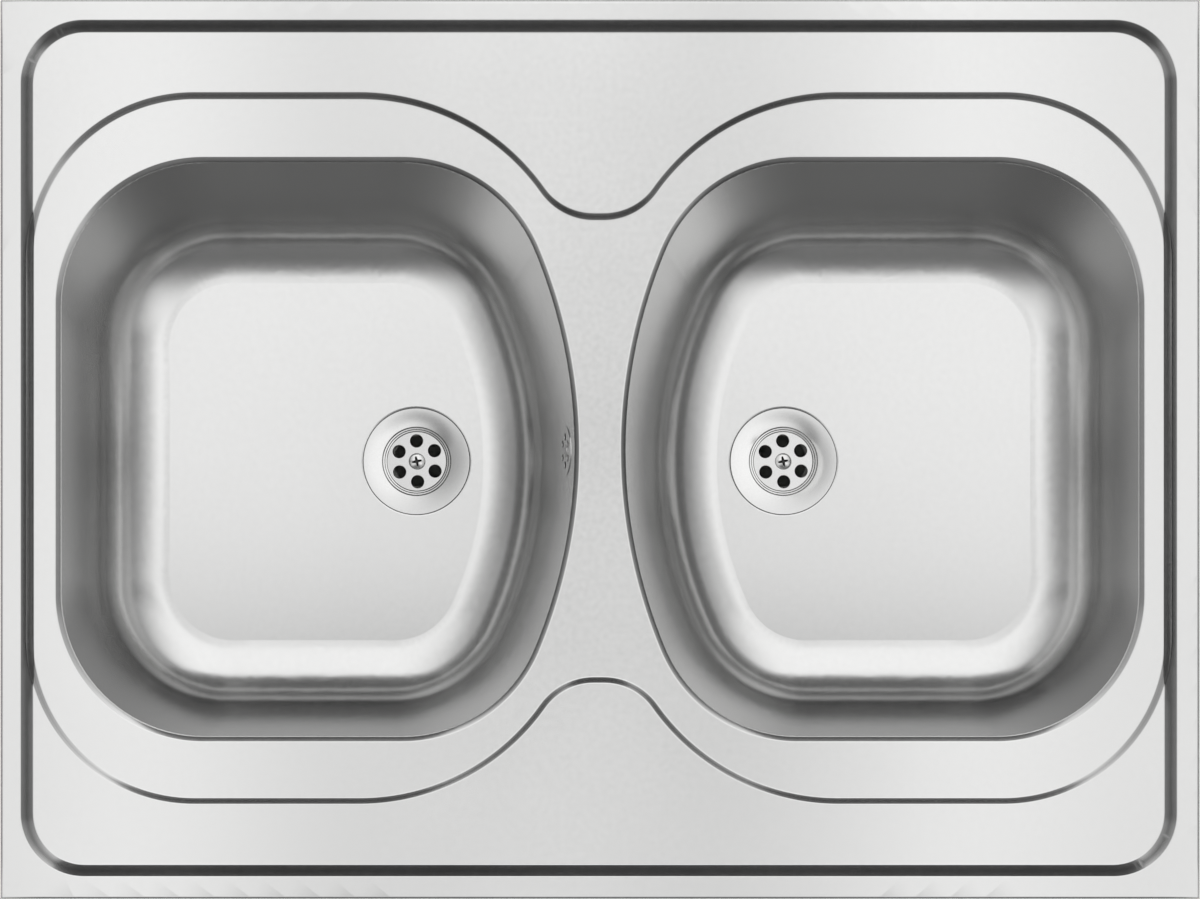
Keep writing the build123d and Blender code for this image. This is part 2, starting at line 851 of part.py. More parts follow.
def make_overflow_body():
    """Flanged chamber behind the wall, with a screw boss and a tail that points down."""
    cavity_floor = overflow_wall - overflow_chamber_depth
    with BuildPart() as overflow_body:
        with BuildSketch(overflow_back_plane):
            Circle(overflow_flange_radius)
        extrude(amount=-overflow_flange_thickness)
        with BuildSketch(overflow_back_plane):
            Circle(overflow_chamber_radius)
        extrude(amount=-overflow_chamber_depth)
        with BuildSketch(tail_plane):
            Circle(tail_radius)
        extrude(amount=tail_length)
        with BuildSketch(overflow_back_plane):
            Circle(overflow_chamber_radius - overflow_wall)
        extrude(amount=cavity_floor, mode=Mode.SUBTRACT)
        with BuildSketch(tail_plane):
            Circle(tail_bore)
        extrude(amount=tail_length, mode=Mode.SUBTRACT)
        with BuildSketch(overflow_back_plane.offset(cavity_floor)):
            Circle(overflow_boss_radius)
            Circle(overflow_screw_radius + thread_clearance, mode=Mode.SUBTRACT)
        extrude(amount=-cavity_floor)
    return overflow_body.part


def make_overflow_pipe():
    """Pipe with a collar at each end, from the overflow's tail to the waste body's port."""
    start = tail_end_plane.offset(overflow_washer_thickness)
    end = port_plane.offset(port_end + overflow_washer_thickness)
    corner = (tail_origin.X, tail_origin.Y, port_level)
    bore = overflow_pipe_radius - overflow_pipe_wall
    with BuildPart() as overflow_pipe:
        add(bent_tube([start.origin, corner, end.origin], overflow_bend, overflow_pipe_radius, bore))
        for plane in (start, end):
            add(tube(plane, tail_radius, bore, 0, overflow_collar_thickness))
    return overflow_pipe.part


def make_small_nut(plane):
    gap = overflow_washer_thickness + overflow_collar_thickness
    return make_nut(plane, tail_radius, overflow_pipe_radius, gap, small_nut_reach, small_nut_wall)


def make_small_washer(plane):
    return tube(plane, tail_radius, tail_bore, 0, overflow_washer_thickness)


# Fixing brackets, one near each end of the two side returns


def make_bracket(side, end):
    """Angle that hooks over the return and hangs down the cabinet's inner face."""
    hook_bottom = sheet + bracket_clearance
    hook_top = hook_bottom + bracket_thickness
    panel_face = top_width / 2 - cabinet_panel
    leaf_face = panel_face - bracket_thickness
    profile_plane = Plane(
        origin=(0, end * bracket_place + bracket_length / 2, 0), x_dir=(1, 0, 0), z_dir=(0, -1, 0)
    )
    slot_plane = Plane(
        origin=(side * panel_face, end * bracket_place, -bracket_drop / 2),
        x_dir=(0, 1, 0),
        z_dir=(-side, 0, 0),
    )
    with BuildPart() as bracket:
        with BuildSketch(profile_plane):
            with BuildLine():
                Polyline(
                    (side * leaf_face, -bracket_drop),
                    (side * panel_face, -bracket_drop),
                    (side * panel_face, hook_bottom),
                    (side * (panel_face + bracket_hook), hook_bottom),
                    (side * (panel_face + bracket_hook), hook_top),
                    (side * leaf_face, hook_top),
                    close=True,
                )
            make_face()
        extrude(amount=bracket_length)
        fillet(
            bracket.edges().filter_by(Axis.Y).filter_by_position(Axis.Z, hook_top, hook_top)
            .sort_by(SortBy.DISTANCE)[0],
            radius=bracket_thickness,
        )
        with BuildSketch(slot_plane):
            SlotOverall(bracket_slot_length, bracket_slot_width, rotation=bracket_slot_angle)
        extrude(amount=bracket_thickness, mode=Mode.SUBTRACT)
    return bracket.part


# Places that depend on the bowl's own wall

overflow_plane = find_overflow_plane()
overflow_back_plane = overflow_plane.offset(
    -sheet - overflow_gasket_gap - overflow_gasket_thickness
)
tail_origin = overflow_back_plane.offset(-overflow_chamber_depth / 2).origin
tail_plane = Plane(origin=tail_origin, x_dir=(1, 0, 0), z_dir=(0, 0, -1))
tail_end_plane = tail_plane.offset(tail_length)
port_origin = Vector(-drain_place, drain_shift, port_level)
port_plane = Plane(
    origin=port_origin,
    x_dir=(0, 0, 1),
    z_dir=Vector(tail_origin.X, tail_origin.Y, port_level) - port_origin,
)
trap_outlet_plane = Plane(
    origin=(0, drain_shift, outlet_level), x_dir=(1, 0, 0), z_dir=(0, 1, 0)
)
trap_neck_plane = Plane((0, drain_shift, trap_neck_top))
trap_socket_plane = trap_outlet_plane.offset(outlet_socket_end)

# Every piece is written under its own name

os.makedirs("parts", exist_ok=True)

save(make_sink_top(), "sink_top")
bowl = make_bowl()
save(cut_overflow_hole(bowl), "left_bowl")
save(mirror(bowl, about=Plane.YZ), "right_bowl")

for side_name, side in (("left", -1), ("right", 1)):
    strainer_plane = drain_plane(side, grid_level)
    strainer_screw = make_screw(
        strainer_plane,
        strainer_head_radius,
        strainer_head_height,
        strainer_screw_radius,
        strainer_screw_length,
    )
    waste_body = make_waste_body(side)
    if side < 0:
        waste_body = add_overflow_port(waste_body)
    save(make_sound_pad(side), f"{side_name}_sound_pad")
    save(make_strainer(side), f"{side_name}_strainer")
    save(make_strainer_seal(side), f"{side_name}_strainer_seal")
    save(strainer_screw, f"{side_name}_strainer_screw")
    save(make_waste_gasket(side), f"{side_name}_waste_gasket")
    save(waste_body, f"{side_name}_waste_body")
    save(make_insert_nut(side), f"{side_name}_insert_nut")
    save(make_coupling_nut(side), f"{side_name}_coupling_nut")
    save(make_flat_washer(side), f"{side_name}_coupling_washer")
    save(make_elbow(side), f"{side_name}_elbow_pipe")
    save(make_pipe_nut(tee_plane(side)), f"{side_name}_tee_nut")
    save(make_cone_washer(tee_plane(side)), f"{side_name}_tee_washer")
    save(make_bracket(side, 1), f"{side_name}_back_bracket")
    save(make_bracket(side, -1), f"{side_name}_front_bracket")

save(make_tee(), "centre_tee")
save(make_pipe_nut(trap_neck_plane), "trap_inlet_nut")
save(make_cone_washer(trap_neck_plane), "trap_inlet_washer")
save(make_trap_body(), "trap_body")
save(make_trap_cup(), "trap_cup")
save(make_cup_seal(), "trap_cup_seal")
save(make_pipe_nut(trap_socket_plane), "outlet_nut")
save(make_cone_washer(trap_socket_plane), "outlet_washer")
save(make_outlet_pipe(), "outlet_pipe")

overflow_screw = make_screw(
    overflow_plane.offset(rosette_gap + rosette_thickness),
    overflow_head_radius,
    overflow_head_height,
    overflow_screw_radius,
    overflow_screw_length,
)
overflow_gasket = tube(
    overflow_back_plane,
    overflow_flange_radius,
    overflow_hole_radius + screw_clearance,
    0,
    overflow_gasket_thickness,
)
save(make_rosette(), "overflow_rosette")
save(overflow_screw, "overflow_screw")
save(overflow_gasket, "overflow_gasket")
save(make_overflow_body(), "overflow_body")
save(make_overflow_pipe(), "overflow_pipe")
save(make_small_nut(tail_end_plane), "overflow_tail_nut")
save(make_small_washer(tail_end_plane), "overflow_tail_washer")
save(make_small_nut(port_plane.offset(port_end)), "overflow_port_nut")
save(make_small_washer(port_plane.offset(port_end)), "overflow_port_washer")
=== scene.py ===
import json
import math

import bmesh
import bpy
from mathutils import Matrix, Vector
from mathutils.geometry import delaunay_2d_cdt


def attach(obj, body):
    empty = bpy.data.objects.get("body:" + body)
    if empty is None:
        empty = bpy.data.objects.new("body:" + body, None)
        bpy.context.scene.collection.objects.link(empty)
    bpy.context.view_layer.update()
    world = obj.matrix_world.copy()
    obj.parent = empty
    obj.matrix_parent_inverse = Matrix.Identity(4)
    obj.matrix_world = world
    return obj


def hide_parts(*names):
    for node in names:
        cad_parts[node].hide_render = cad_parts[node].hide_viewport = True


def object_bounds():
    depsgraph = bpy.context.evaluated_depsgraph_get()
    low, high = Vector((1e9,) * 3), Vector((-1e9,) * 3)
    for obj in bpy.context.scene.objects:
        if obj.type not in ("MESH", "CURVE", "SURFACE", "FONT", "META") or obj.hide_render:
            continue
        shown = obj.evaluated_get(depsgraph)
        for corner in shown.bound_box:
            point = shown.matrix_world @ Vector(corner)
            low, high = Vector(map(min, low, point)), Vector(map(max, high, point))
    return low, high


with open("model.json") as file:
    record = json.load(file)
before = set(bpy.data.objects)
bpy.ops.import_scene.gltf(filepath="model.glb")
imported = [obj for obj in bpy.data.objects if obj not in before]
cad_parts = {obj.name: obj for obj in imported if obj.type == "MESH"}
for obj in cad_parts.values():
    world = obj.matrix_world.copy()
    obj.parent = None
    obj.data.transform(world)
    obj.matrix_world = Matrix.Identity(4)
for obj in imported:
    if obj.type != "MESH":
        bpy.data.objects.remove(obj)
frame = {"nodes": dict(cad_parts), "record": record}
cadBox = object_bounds()
nodes = frame["nodes"]
print("frame loaded:", len(nodes), "pieces")


# camera: straight down over the middle of the sink, in metres

cameraSetup = {
    "height": 2.43,        # above the rim
    "rimLevel": 0.030,
    "frameWidth": 0.8006,  # what the picture spans at the rim
    "sensor": 36.0,        # millimetres, as Blender has it
    "reach": 50.0,
}
cameraLevel = cameraSetup["rimLevel"] + cameraSetup["height"]
bpy.ops.object.camera_add(location=(0, 0, cameraLevel), rotation=(0, 0, 0))
camera = bpy.context.object
camera.name = "topCamera"
camera.data.sensor_width = cameraSetup["sensor"]
camera.data.lens = cameraSetup["sensor"] * cameraSetup["height"] / cameraSetup["frameWidth"]
camera.data.clip_end = cameraSetup["reach"]
bpy.context.scene.camera = camera
bpy.context.scene.view_settings.view_transform = "Standard"


# small helpers; the new pieces are laid out in millimetres

# how near counts as the same place
near = {"point": 0.0001, "weld": 0.001, "edge": 0.01, "face": 0.02, "curvedEdge": 0.05}
rollSlack = 0.05    # a rounding is this much smaller than the room it has


def deselectAll():
    if bpy.context.object and bpy.context.object.mode != "OBJECT":
        bpy.ops.object.mode_set(mode="OBJECT")
    bpy.ops.object.select_all(action="DESELECT")


def makeActive(piece):
    deselectAll()
    piece.select_set(True)
    bpy.context.view_layer.objects.active = piece


def pullEdge(piece, picked, place):
    # extrudes the open edges that picked() takes, then puts each new vertex where place() says
    makeActive(piece)
    bpy.ops.object.mode_set(mode="EDIT")
    bpy.ops.mesh.select_mode(type="EDGE")
    bpy.ops.mesh.select_all(action="DESELECT")
    mesh = bmesh.from_edit_mesh(piece.data)
    for edge in mesh.edges:
        if edge.is_boundary and picked(edge.verts[0].co) and picked(edge.verts[1].co):
            edge.select_set(True)
    bmesh.update_edit_mesh(piece.data)
    bpy.ops.mesh.extrude_edges_move()
    mesh = bmesh.from_edit_mesh(piece.data)
    for vert in mesh.verts:
        if vert.select:
            vert.co = place(vert.co)
    bmesh.update_edit_mesh(piece.data)
    bpy.ops.object.mode_set(mode="OBJECT")


def roundedPath(corners, steps=4):
    # polyline through (across, level, radius) corners, each corner turned with its own radius
    path = []
    for k, (across, level, radius) in enumerate(corners):
        here = Vector((across, level))
        if k in (0, len(corners) - 1) or radius == 0:
            path.append(here)
            continue
        back = (Vector(corners[k - 1][:2]) - here).normalized()
        ahead = (Vector(corners[k + 1][:2]) - here).normalized()
        half = back.angle(ahead) / 2
        centre = here + (back + ahead).normalized() * radius / math.sin(half)
        start = here + back * radius / math.tan(half) - centre
        turn = (math.pi - 2 * half) * (1 if back.x * ahead.y - back.y * ahead.x < 0 else -1)
        for n in range(steps + 1):
            angle = turn * n / steps
            cos, sin = math.cos(angle), math.sin(angle)
            path.append(centre + Vector((start.x * cos - start.y * sin, start.x * sin + start.y * cos)))
    return [tuple(point) for point in path]


def ring(centre, radius, count):
    angles = [2 * math.pi * k / count for k in range(count)]
    return [(centre[0] + radius * math.cos(a), centre[1] + radius * math.sin(a)) for a in angles]


def addPath(points, edges, path, closed=True, kept=lambda x, y: True):
    # adds a path's kept points, and the edges that have both ends kept
    numbers = {}
    for k, (x, y) in enumerate(path):
        if kept(x, y):
            numbers[k] = len(points)
            points.append(Vector((x, y)))
    for k in range(len(path) if closed else len(path) - 1):
        after = (k + 1) % len(path)
        if k in numbers and after in numbers:
            edges.append((numbers[k], numbers[after]))


def layPoints(name, points, edges, levelAt, keep):
    # sheet through points and edges, filled with triangles and lifted to levelAt(x, y)
    flat = delaunay_2d_cdt(points, edges, [], 0, near["point"])
    spots = [(x, y, levelAt(x, y)) for x, y in flat[0]]
    faces = []
    for face in flat[2]:
        x = sum(spots[n][0] for n in face) / len(face)
        y = sum(spots[n][1] for n in face) / len(face)
        if keep(x, y):
            faces.append(face)
    mesh = bpy.data.meshes.new(name)
    mesh.from_pydata(spots, [], faces)
    piece = bpy.data.objects.new(name, mesh)
    bpy.context.collection.objects.link(piece)
    return piece


def pullRing(piece, centre, start, path):
    # pulls the round open edge of radius start through a path of (radius, level)
    middle = Vector(centre)
    previous = start
    for radius, level in path:
        def onEdge(co):
            return abs((co.xy - middle).length - previous) < near["edge"]

        def place(co):
            moved = middle + (co.xy - middle).normalized() * radius
            return Vector((moved.x, moved.y, level))

        pullEdge(piece, onEdge, place)
        previous = radius


def cleanMesh(piece, gap, quads=False):
    # merges doubled points and turns all faces the same way
    makeActive(piece)
    bpy.ops.object.mode_set(mode="EDIT")
    bpy.ops.mesh.select_all(action="SELECT")
    bpy.ops.mesh.remove_doubles(threshold=gap)
    bpy.ops.mesh.normals_make_consistent(inside=False)
    if quads:
        bpy.ops.mesh.tris_convert_to_quads(face_threshold=math.radians(1), shape_threshold=math.radians(60))
    bpy.ops.object.mode_set(mode="OBJECT")


def toMetres(piece):
    piece.scale = (0.001, 0.001, 0.001)
    bpy.ops.object.transform_apply(location=False, rotation=False, scale=True)


def finishSheet(piece, thickness, smoothAngle):
    # cleans a sheet, turns its upper side up, brings it to metres and gives it its thickness
    cleanMesh(piece, near["weld"], quads=True)
    levelFaces = [face for face in piece.data.polygons if abs(face.normal.z) > 0.5]
    if sum(face.area * face.normal.z for face in levelFaces) < 0:
        bpy.ops.object.mode_set(mode="EDIT")
        bpy.ops.mesh.flip_normals()
        bpy.ops.object.mode_set(mode="OBJECT")
    toMetres(piece)
    bpy.ops.object.modifier_add(type="SOLIDIFY")
    wall = piece.modifiers[-1]
    wall.thickness = thickness / 1000
    wall.offset = -1
    wall.use_even_offset = True
    bpy.ops.object.modifier_apply(modifier=wall.name)
    bpy.ops.object.shade_smooth_by_angle(angle=math.radians(smoothAngle))


newPieces = []


def standFor(piece, node, finish):
    # a new piece takes a node's place on the sink and gets its finish below
    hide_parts(node)
    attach(piece, "sink")
    newPieces.append((piece, finish))


# sink top: one pressed sheet

top = {
    "halfWidth": 400.0, "halfDepth": 300.0, "rimLevel": 30.0, "sheet": 0.8,
    "edgeRadius": 1.6, "returnWidth": 12.0, "foldSteps": 7, "smoothAngle": 32.0,
    "rimBorder": 14.3, "rimCorner": 42.0, "deckDrop": 6.0, "stepRun": 7.3, "stepSoft": 1.2,
    "pressShift": (-0.8, 0.8),   # the pressing sits a little off the middle of the folded edge
    "ledgeDrop": 3.0, "ledgeRun": 4.0, "ledgeSoft": 1.2,
    "ledgeHalfDepth": 238.0, "ledgeSide": 383.0, "ledgeMiddle": 8.0,
    "ledgeCorner": 112.0, "ledgeShoulder": 152.0, "waistHalfDepth": 157.0, "waistRadius": 40.0,
    "pastRim": 2.0,        # the ledge's lines end this far outside the rim step
    "softSteps": 5,        # points over each rounding
    "holdingGap": 0.7,     # flat strip that keeps each rounding to itself
    "holdingRise": 1.0,    # and the same above the return
    "closestRings": 0.05,  # roundings nearer than this run into each other
    "middleGap": 0.1,      # and then stay this far from the slope's middle
    "lineStep": 24.0,      # longest stretch between points on straight edges
    "arcStep": 3.6,        # and on arcs
}
mouth = {
    "landHalf": 12.9, "width": 352.8, "halfDepth": 196.8, "corner": 100.0, "bulge": 352.0,
    "radius": 4.5, "collar": 1.0,
    # the lip slopes down from lipStart to lipFoot
    "lipStart": 3.4, "lipFoot": 0.3, "lipSlope": 34.0, "lipRadius": 1.5, "lipSteps": 5,
}
weldSide = mouth["landHalf"] + mouth["width"] - mouth["radius"]
weldMiddle = mouth["landHalf"] + mouth["radius"]
weldHalfDepth = mouth["halfDepth"] - mouth["radius"]
weldCorner = mouth["corner"] - mouth["radius"]
weldBulge = mouth["bulge"] - mouth["radius"]
bulgeX = weldMiddle + weldBulge
cornerY = weldHalfDepth - weldCorner
innerCornerX = bulgeX - math.sqrt((weldBulge - weldCorner) ** 2 - cornerY ** 2)
outerCornerX = weldSide - weldCorner
bulgeAngle = math.atan2(cornerY, bulgeX - innerCornerX)

shoulderX = top["ledgeMiddle"] + top["ledgeShoulder"]
shoulderY = top["ledgeHalfDepth"] - top["ledgeShoulder"]
notchY = top["waistHalfDepth"] + top["waistRadius"]
notchX = shoulderX - math.sqrt((top["ledgeShoulder"] + top["waistRadius"]) ** 2 - (notchY - shoulderY) ** 2)
notchAngle = math.atan2(shoulderY - notchY, shoulderX - notchX)


def roundedDistance(x, y, halfX, halfY, corner):
    # distance outside a rounded rectangle, negative inside
    overX, overY = abs(x) - halfX + corner, abs(y) - halfY + corner
    return math.hypot(max(overX, 0), max(overY, 0)) + min(max(overX, overY), 0) - corner


def rimDistance(x, y):
    x, y = x - top["pressShift"][0], y - top["pressShift"][1]
    halfX, halfY = top["halfWidth"] - top["rimBorder"], top["halfDepth"] - top["rimBorder"]
    return roundedDistance(x, y, halfX, halfY, top["rimCorner"])


def ledgeDistance(x, y):
    # distance outside the sunk ledge's upper edge, negative inside
    x, y = abs(x - top["pressShift"][0]), abs(y - top["pressShift"][1])
    if x < notchX:
        return y - top["waistHalfDepth"]
    turn = (shoulderX - notchX) * (y - notchY) - (shoulderY - notchY) * (x - notchX)
    if turn < 0 and y > top["waistHalfDepth"] - top["waistRadius"] and x < shoulderX:
        return top["waistRadius"] - math.hypot(x - notchX, y - notchY)
    middle = (top["ledgeSide"] + top["ledgeMiddle"]) / 2
    half = (top["ledgeSide"] - top["ledgeMiddle"]) / 2
    if x < middle and abs(y) < shoulderY:
        return min(y - top["waistHalfDepth"], -1)
    corner = top["ledgeCorner"] if x > middle else top["ledgeShoulder"]
    return roundedDistance(x - middle, y, half, top["ledgeHalfDepth"], corner)


def mouthDistance(x, y):
    # distance outside the weld of the nearer mouth, negative inside
    x, y = abs(x), abs(y)
    if x < innerCornerX:
        if math.atan2(y, bulgeX - x) < bulgeAngle:
            return math.hypot(x - bulgeX, y) - weldBulge
        return math.hypot(x - innerCornerX, y - cornerY) - weldCorner
    if x < outerCornerX:
        return y - weldHalfDepth
    if y > cornerY:
        return math.hypot(x - outerCornerX, y - cornerY) - weldCorner
    return x - weldSide


def rampDrop(inside, run, drop, radius):
    # how far a rounded slope has dropped at a distance inside its upper edge
    slope = math.atan2(drop, run)
    tangent = radius * math.tan(slope / 2)
    if inside <= -tangent:
        return 0.0
    if inside < tangent * math.cos(slope):
        return radius - math.sqrt(radius ** 2 - (inside + tangent) ** 2)
    if inside >= run + tangent:
        return drop
    if inside > run - tangent * math.cos(slope):
        return drop - radius + math.sqrt(radius ** 2 - (run + tangent - inside) ** 2)
    return inside * drop / run


def topLevel(x, y):
    step = rampDrop(-rimDistance(x, y), top["stepRun"], top["deckDrop"], top["stepSoft"])
    ledge = rampDrop(-ledgeDistance(x, y), top["ledgeRun"], top["ledgeDrop"], top["ledgeSoft"])
    return top["rimLevel"] - step * (1 + ledge / top["deckDrop"])


def bandOffsets(run, drop, radius):
    # where a slope's rings of points lie, measured inwards from its upper edge
    slope = math.atan2(drop, run)
    tangent = radius * math.tan(slope / 2)
    span = tangent * (1 + math.cos(slope))
    steps = top["softSteps"]
    rounding = [-tangent + span * k / steps for k in range(steps + 1)]
    upper = [-tangent - top["holdingGap"]] + rounding
    lower = [run - offset for offset in reversed(upper)]
    if upper[-1] > lower[0] - top["closestRings"]:
        middle = run / 2
        upper = [offset for offset in upper if offset < middle - top["middleGap"]]
        lower = [run - offset for offset in reversed(upper)]
        return upper + [middle] + lower
    return upper + [(upper[-1] + lower[0]) / 2] + lower


def arcPoints(centreX, centreY, radius, start, end):
    count = max(2, math.ceil(abs(end - start) * radius / top["arcStep"]))
    angles = [start + (end - start) * k / count for k in range(count + 1)]
    return [(centreX + radius * math.cos(a), centreY + radius * math.sin(a)) for a in angles]


def splitLines(points):
    # adds points on the long straight stretches of a closed loop
    loop = []
    for k, point in enumerate(points):
        after = points[(k + 1) % len(points)]
        count = max(1, math.ceil(math.dist(point, after) / top["lineStep"]))
        loop += [tuple(point[i] + (after[i] - point[i]) * n / count for i in (0, 1)) for n in range(count)]
    return loop


def mirrored(quarter):
    # a closed loop from its first quarter, moved to where the pressing sits
    loop = list(quarter)
    loop += [(-x, y) for x, y in reversed(quarter)]
    loop += [(-x, -y) for x, y in quarter]
    loop += [(x, -y) for x, y in reversed(quarter)]
    return splitLines([(x + top["pressShift"][0], y + top["pressShift"][1]) for x, y in loop])


def rimLoop(inside):
    centreX = top["halfWidth"] - top["rimBorder"] - top["rimCorner"]
    centreY = top["halfDepth"] - top["rimBorder"] - top["rimCorner"]
    return mirrored(arcPoints(centreX, centreY, top["rimCorner"] - inside, 0, math.pi / 2))


def ledgeLoop(inside):
    cornerX = top["ledgeSide"] - top["ledgeCorner"]
    cornerTop = top["ledgeHalfDepth"] - top["ledgeCorner"]
    shoulder = top["ledgeShoulder"] - inside
    quarter = arcPoints(cornerX, cornerTop, top["ledgeCorner"] - inside, 0, math.pi / 2)
    quarter += arcPoints(shoulderX, shoulderY, shoulder, math.pi / 2, math.pi + notchAngle)
    quarter += arcPoints(notchX, notchY, top["waistRadius"] + inside, notchAngle, -math.pi / 2)[1:]
    return mirrored(quarter)


def mouthLoop(side, spread):
    corner = weldCorner + spread
    upper = arcPoints(bulgeX, 0, weldBulge + spread, math.pi, math.pi - bulgeAngle)
    upper += arcPoints(innerCornerX, cornerY, corner, math.pi - bulgeAngle, math.pi / 2)[1:]
    upper += arcPoints(outerCornerX, cornerY, corner, math.pi / 2, 0)
    lower = [(x, -y) for x, y in reversed(upper[1:])]
    return splitLines([(side * x, y) for x, y in upper + lower])


def rectangleLoop(halfX, halfY):
    return splitLines([(halfX, halfY), (-halfX, halfY), (-halfX, -halfY), (halfX, -halfY)])


def layTop():
    # the deck from the outer edge's rounding to the mouths
    gap = top["holdingGap"]
    flatX = top["halfWidth"] - top["edgeRadius"]
    flatY = top["halfDepth"] - top["edgeRadius"]
    rimSteps = bandOffsets(top["stepRun"], top["deckDrop"], top["stepSoft"])
    ledgeSteps = bandOffsets(top["ledgeRun"], top["ledgeDrop"], top["ledgeSoft"])
    points, edges = [], []
    addPath(points, edges, rectangleLoop(flatX, flatY))
    addPath(points, edges, rectangleLoop(flatX - gap, flatY - gap))
    loops = [rimLoop(offset) for offset in rimSteps] + [ledgeLoop(offset) for offset in ledgeSteps]
    for side in (-1, 1):
        loops += [mouthLoop(side, mouth["radius"]), mouthLoop(side, mouth["radius"] + gap)]
    for loop in loops:
        addPath(points, edges, loop, kept=lambda x, y: rimDistance(x, y) < top["pastRim"])

    def onDeck(x, y):
        return mouthDistance(x, y) > mouth["radius"] - near["face"]

    return layPoints("sinkDeck", points, edges, topLevel, onDeck)


def foldRim(piece):
    # rolls the outer edge down into the skirt, and the skirt into the return
    edge = top["edgeRadius"]
    foot = 2 * top["sheet"]
    turns = [math.pi / 2 * k / top["foldSteps"] for k in range(top["foldSteps"] + 1)]
    rings = []
    for turn in turns[1:]:
        rings.append((edge * (1 - math.sin(turn)), top["rimLevel"] - edge * (1 - math.cos(turn))))
    rings.append((0, foot + top["holdingRise"]))
    rings += [(foot * (1 - math.cos(turn)), foot * (1 - math.sin(turn))) for turn in turns]
    rings.append((top["returnWidth"], 0))
    previous = edge
    for inset, level in rings:
        halfX, halfY = top["halfWidth"] - previous, top["halfDepth"] - previous

        def onEdge(co):
            return abs(abs(co.x) - halfX) < near["edge"] or abs(abs(co.y) - halfY) < near["edge"]

        def place(co):
            x, y = co.x, co.y
            if abs(abs(x) - halfX) < near["edge"]:
                x = math.copysign(top["halfWidth"] - inset, x)
            if abs(abs(y) - halfY) < near["edge"]:
                y = math.copysign(top["halfDepth"] - inset, y)
            return Vector((x, y, level))

        pullEdge(piece, onEdge, place)
        previous = inset


def rollMouths(piece):
    # slopes each mouth's edge down to the weld
    ledgeLevel = top["rimLevel"] - top["deckDrop"] - top["ledgeDrop"]
    weldLevel = ledgeLevel - mouth["radius"] - mouth["collar"]
    lipDrop = (mouth["lipStart"] - mouth["lipFoot"]) * math.tan(math.radians(mouth["lipSlope"]))
    profile = roundedPath([
        (mouth["radius"], ledgeLevel, 0), (mouth["lipStart"], ledgeLevel, mouth["lipRadius"]),
        (mouth["lipFoot"], ledgeLevel - lipDrop, mouth["lipFoot"]), (0, weldLevel, 0),
    ], steps=mouth["lipSteps"])
    probe = near["edge"]
    previous = mouth["radius"]
    for spread, level in profile[1:]:
        def onEdge(co):
            return abs(mouthDistance(co.x, co.y) - previous) < near["curvedEdge"]

        def place(co):
            slopeX = mouthDistance(co.x + probe, co.y) - mouthDistance(co.x - probe, co.y)
            slopeY = mouthDistance(co.x, co.y + probe) - mouthDistance(co.x, co.y - probe)
            outwards = Vector((slopeX, slopeY)).normalized()
            moved = co.xy + outwards * (spread - previous)
            return Vector((moved.x, moved.y, level))

        pullEdge(piece, onEdge, place)
        previous = spread


deck = layTop()
foldRim(deck)
rollMouths(deck)
finishSheet(deck, top["sheet"], top["smoothAngle"])
standFor(deck, "sink_top", "sink_steel")
print("sink top made:", len(deck.data.polygons), "faces")


# strainers: the flange, the stepped cup and the grid are one pressed sheet

strainerSizes = {
    "place": (130.0, -8.4), "sheet": 0.8, "smoothAngle": 50.0,
    "flangeRadius": 37.6, "flangeLevel": -118.9, "edgeRoll": 0.5, "edgeLean": 0.05,
    "gridRadius": 20.9, "gridLevel": -125.9, "cornerRadius": 0.4,
    # the stepped wall from the grid up to the flange: radius, level, rounding
    "wall": ((21.4, -124.5, 0.25), (22.3, -124.4, 0.25), (22.8, -123.2, 0.25), (23.8, -123.1, 0.25),
             (24.4, -121.3, 0.5)),
    "holes": 6, "holeRadius": 4.5, "holeCircle": 14.5, "holeTurn": 91.5,
    "holeRoll": 0.5, "holeDepth": 1.2, "holeLean": 0.02,
    "screwHole": 3.3, "holdingRing": 0.25, "roundSteps": 96, "holeSteps": 36,
}


def layGrid(name, size, middle, flatRadius):
    # flat disc at the grid's level, with a hole for the screw and a ring of holes with rolled edges
    lip = size["holeRadius"] + size["holeRoll"]
    gap = size["holdingRing"]
    loops = [ring(middle, radius, size["roundSteps"]) for radius in (flatRadius, flatRadius - gap)]
    loops.append(ring(middle, size["screwHole"], size["holeSteps"]))
    holes = []
    for n in range(size["holes"]):
        turn = math.radians(size["holeTurn"] + 360 / size["holes"] * n)
        x = middle[0] + size["holeCircle"] * math.cos(turn)
        y = middle[1] + size["holeCircle"] * math.sin(turn)
        holes.append((x, y))
        loops += [ring((x, y), radius, size["holeSteps"]) for radius in (lip, lip + gap)]
    points, edges = [], []
    for loop in loops:
        addPath(points, edges, loop)

    def onGrid(x, y):
        clear = all(math.dist((x, y), hole) > lip - near["face"] for hole in holes)
        return clear and size["screwHole"] - near["face"] < math.dist((x, y), middle) < flatRadius

    piece = layPoints(name, points, edges, lambda x, y: size["gridLevel"], onGrid)
    rolled = roundedPath([
        (lip, size["gridLevel"], 0),
        (size["holeRadius"], size["gridLevel"], size["holeRoll"] - rollSlack),
        (size["holeRadius"] - size["holeLean"], size["gridLevel"] - size["holeDepth"], 0),
    ])
    for hole in holes:
        pullRing(piece, hole, lip, rolled[1:])
    return piece


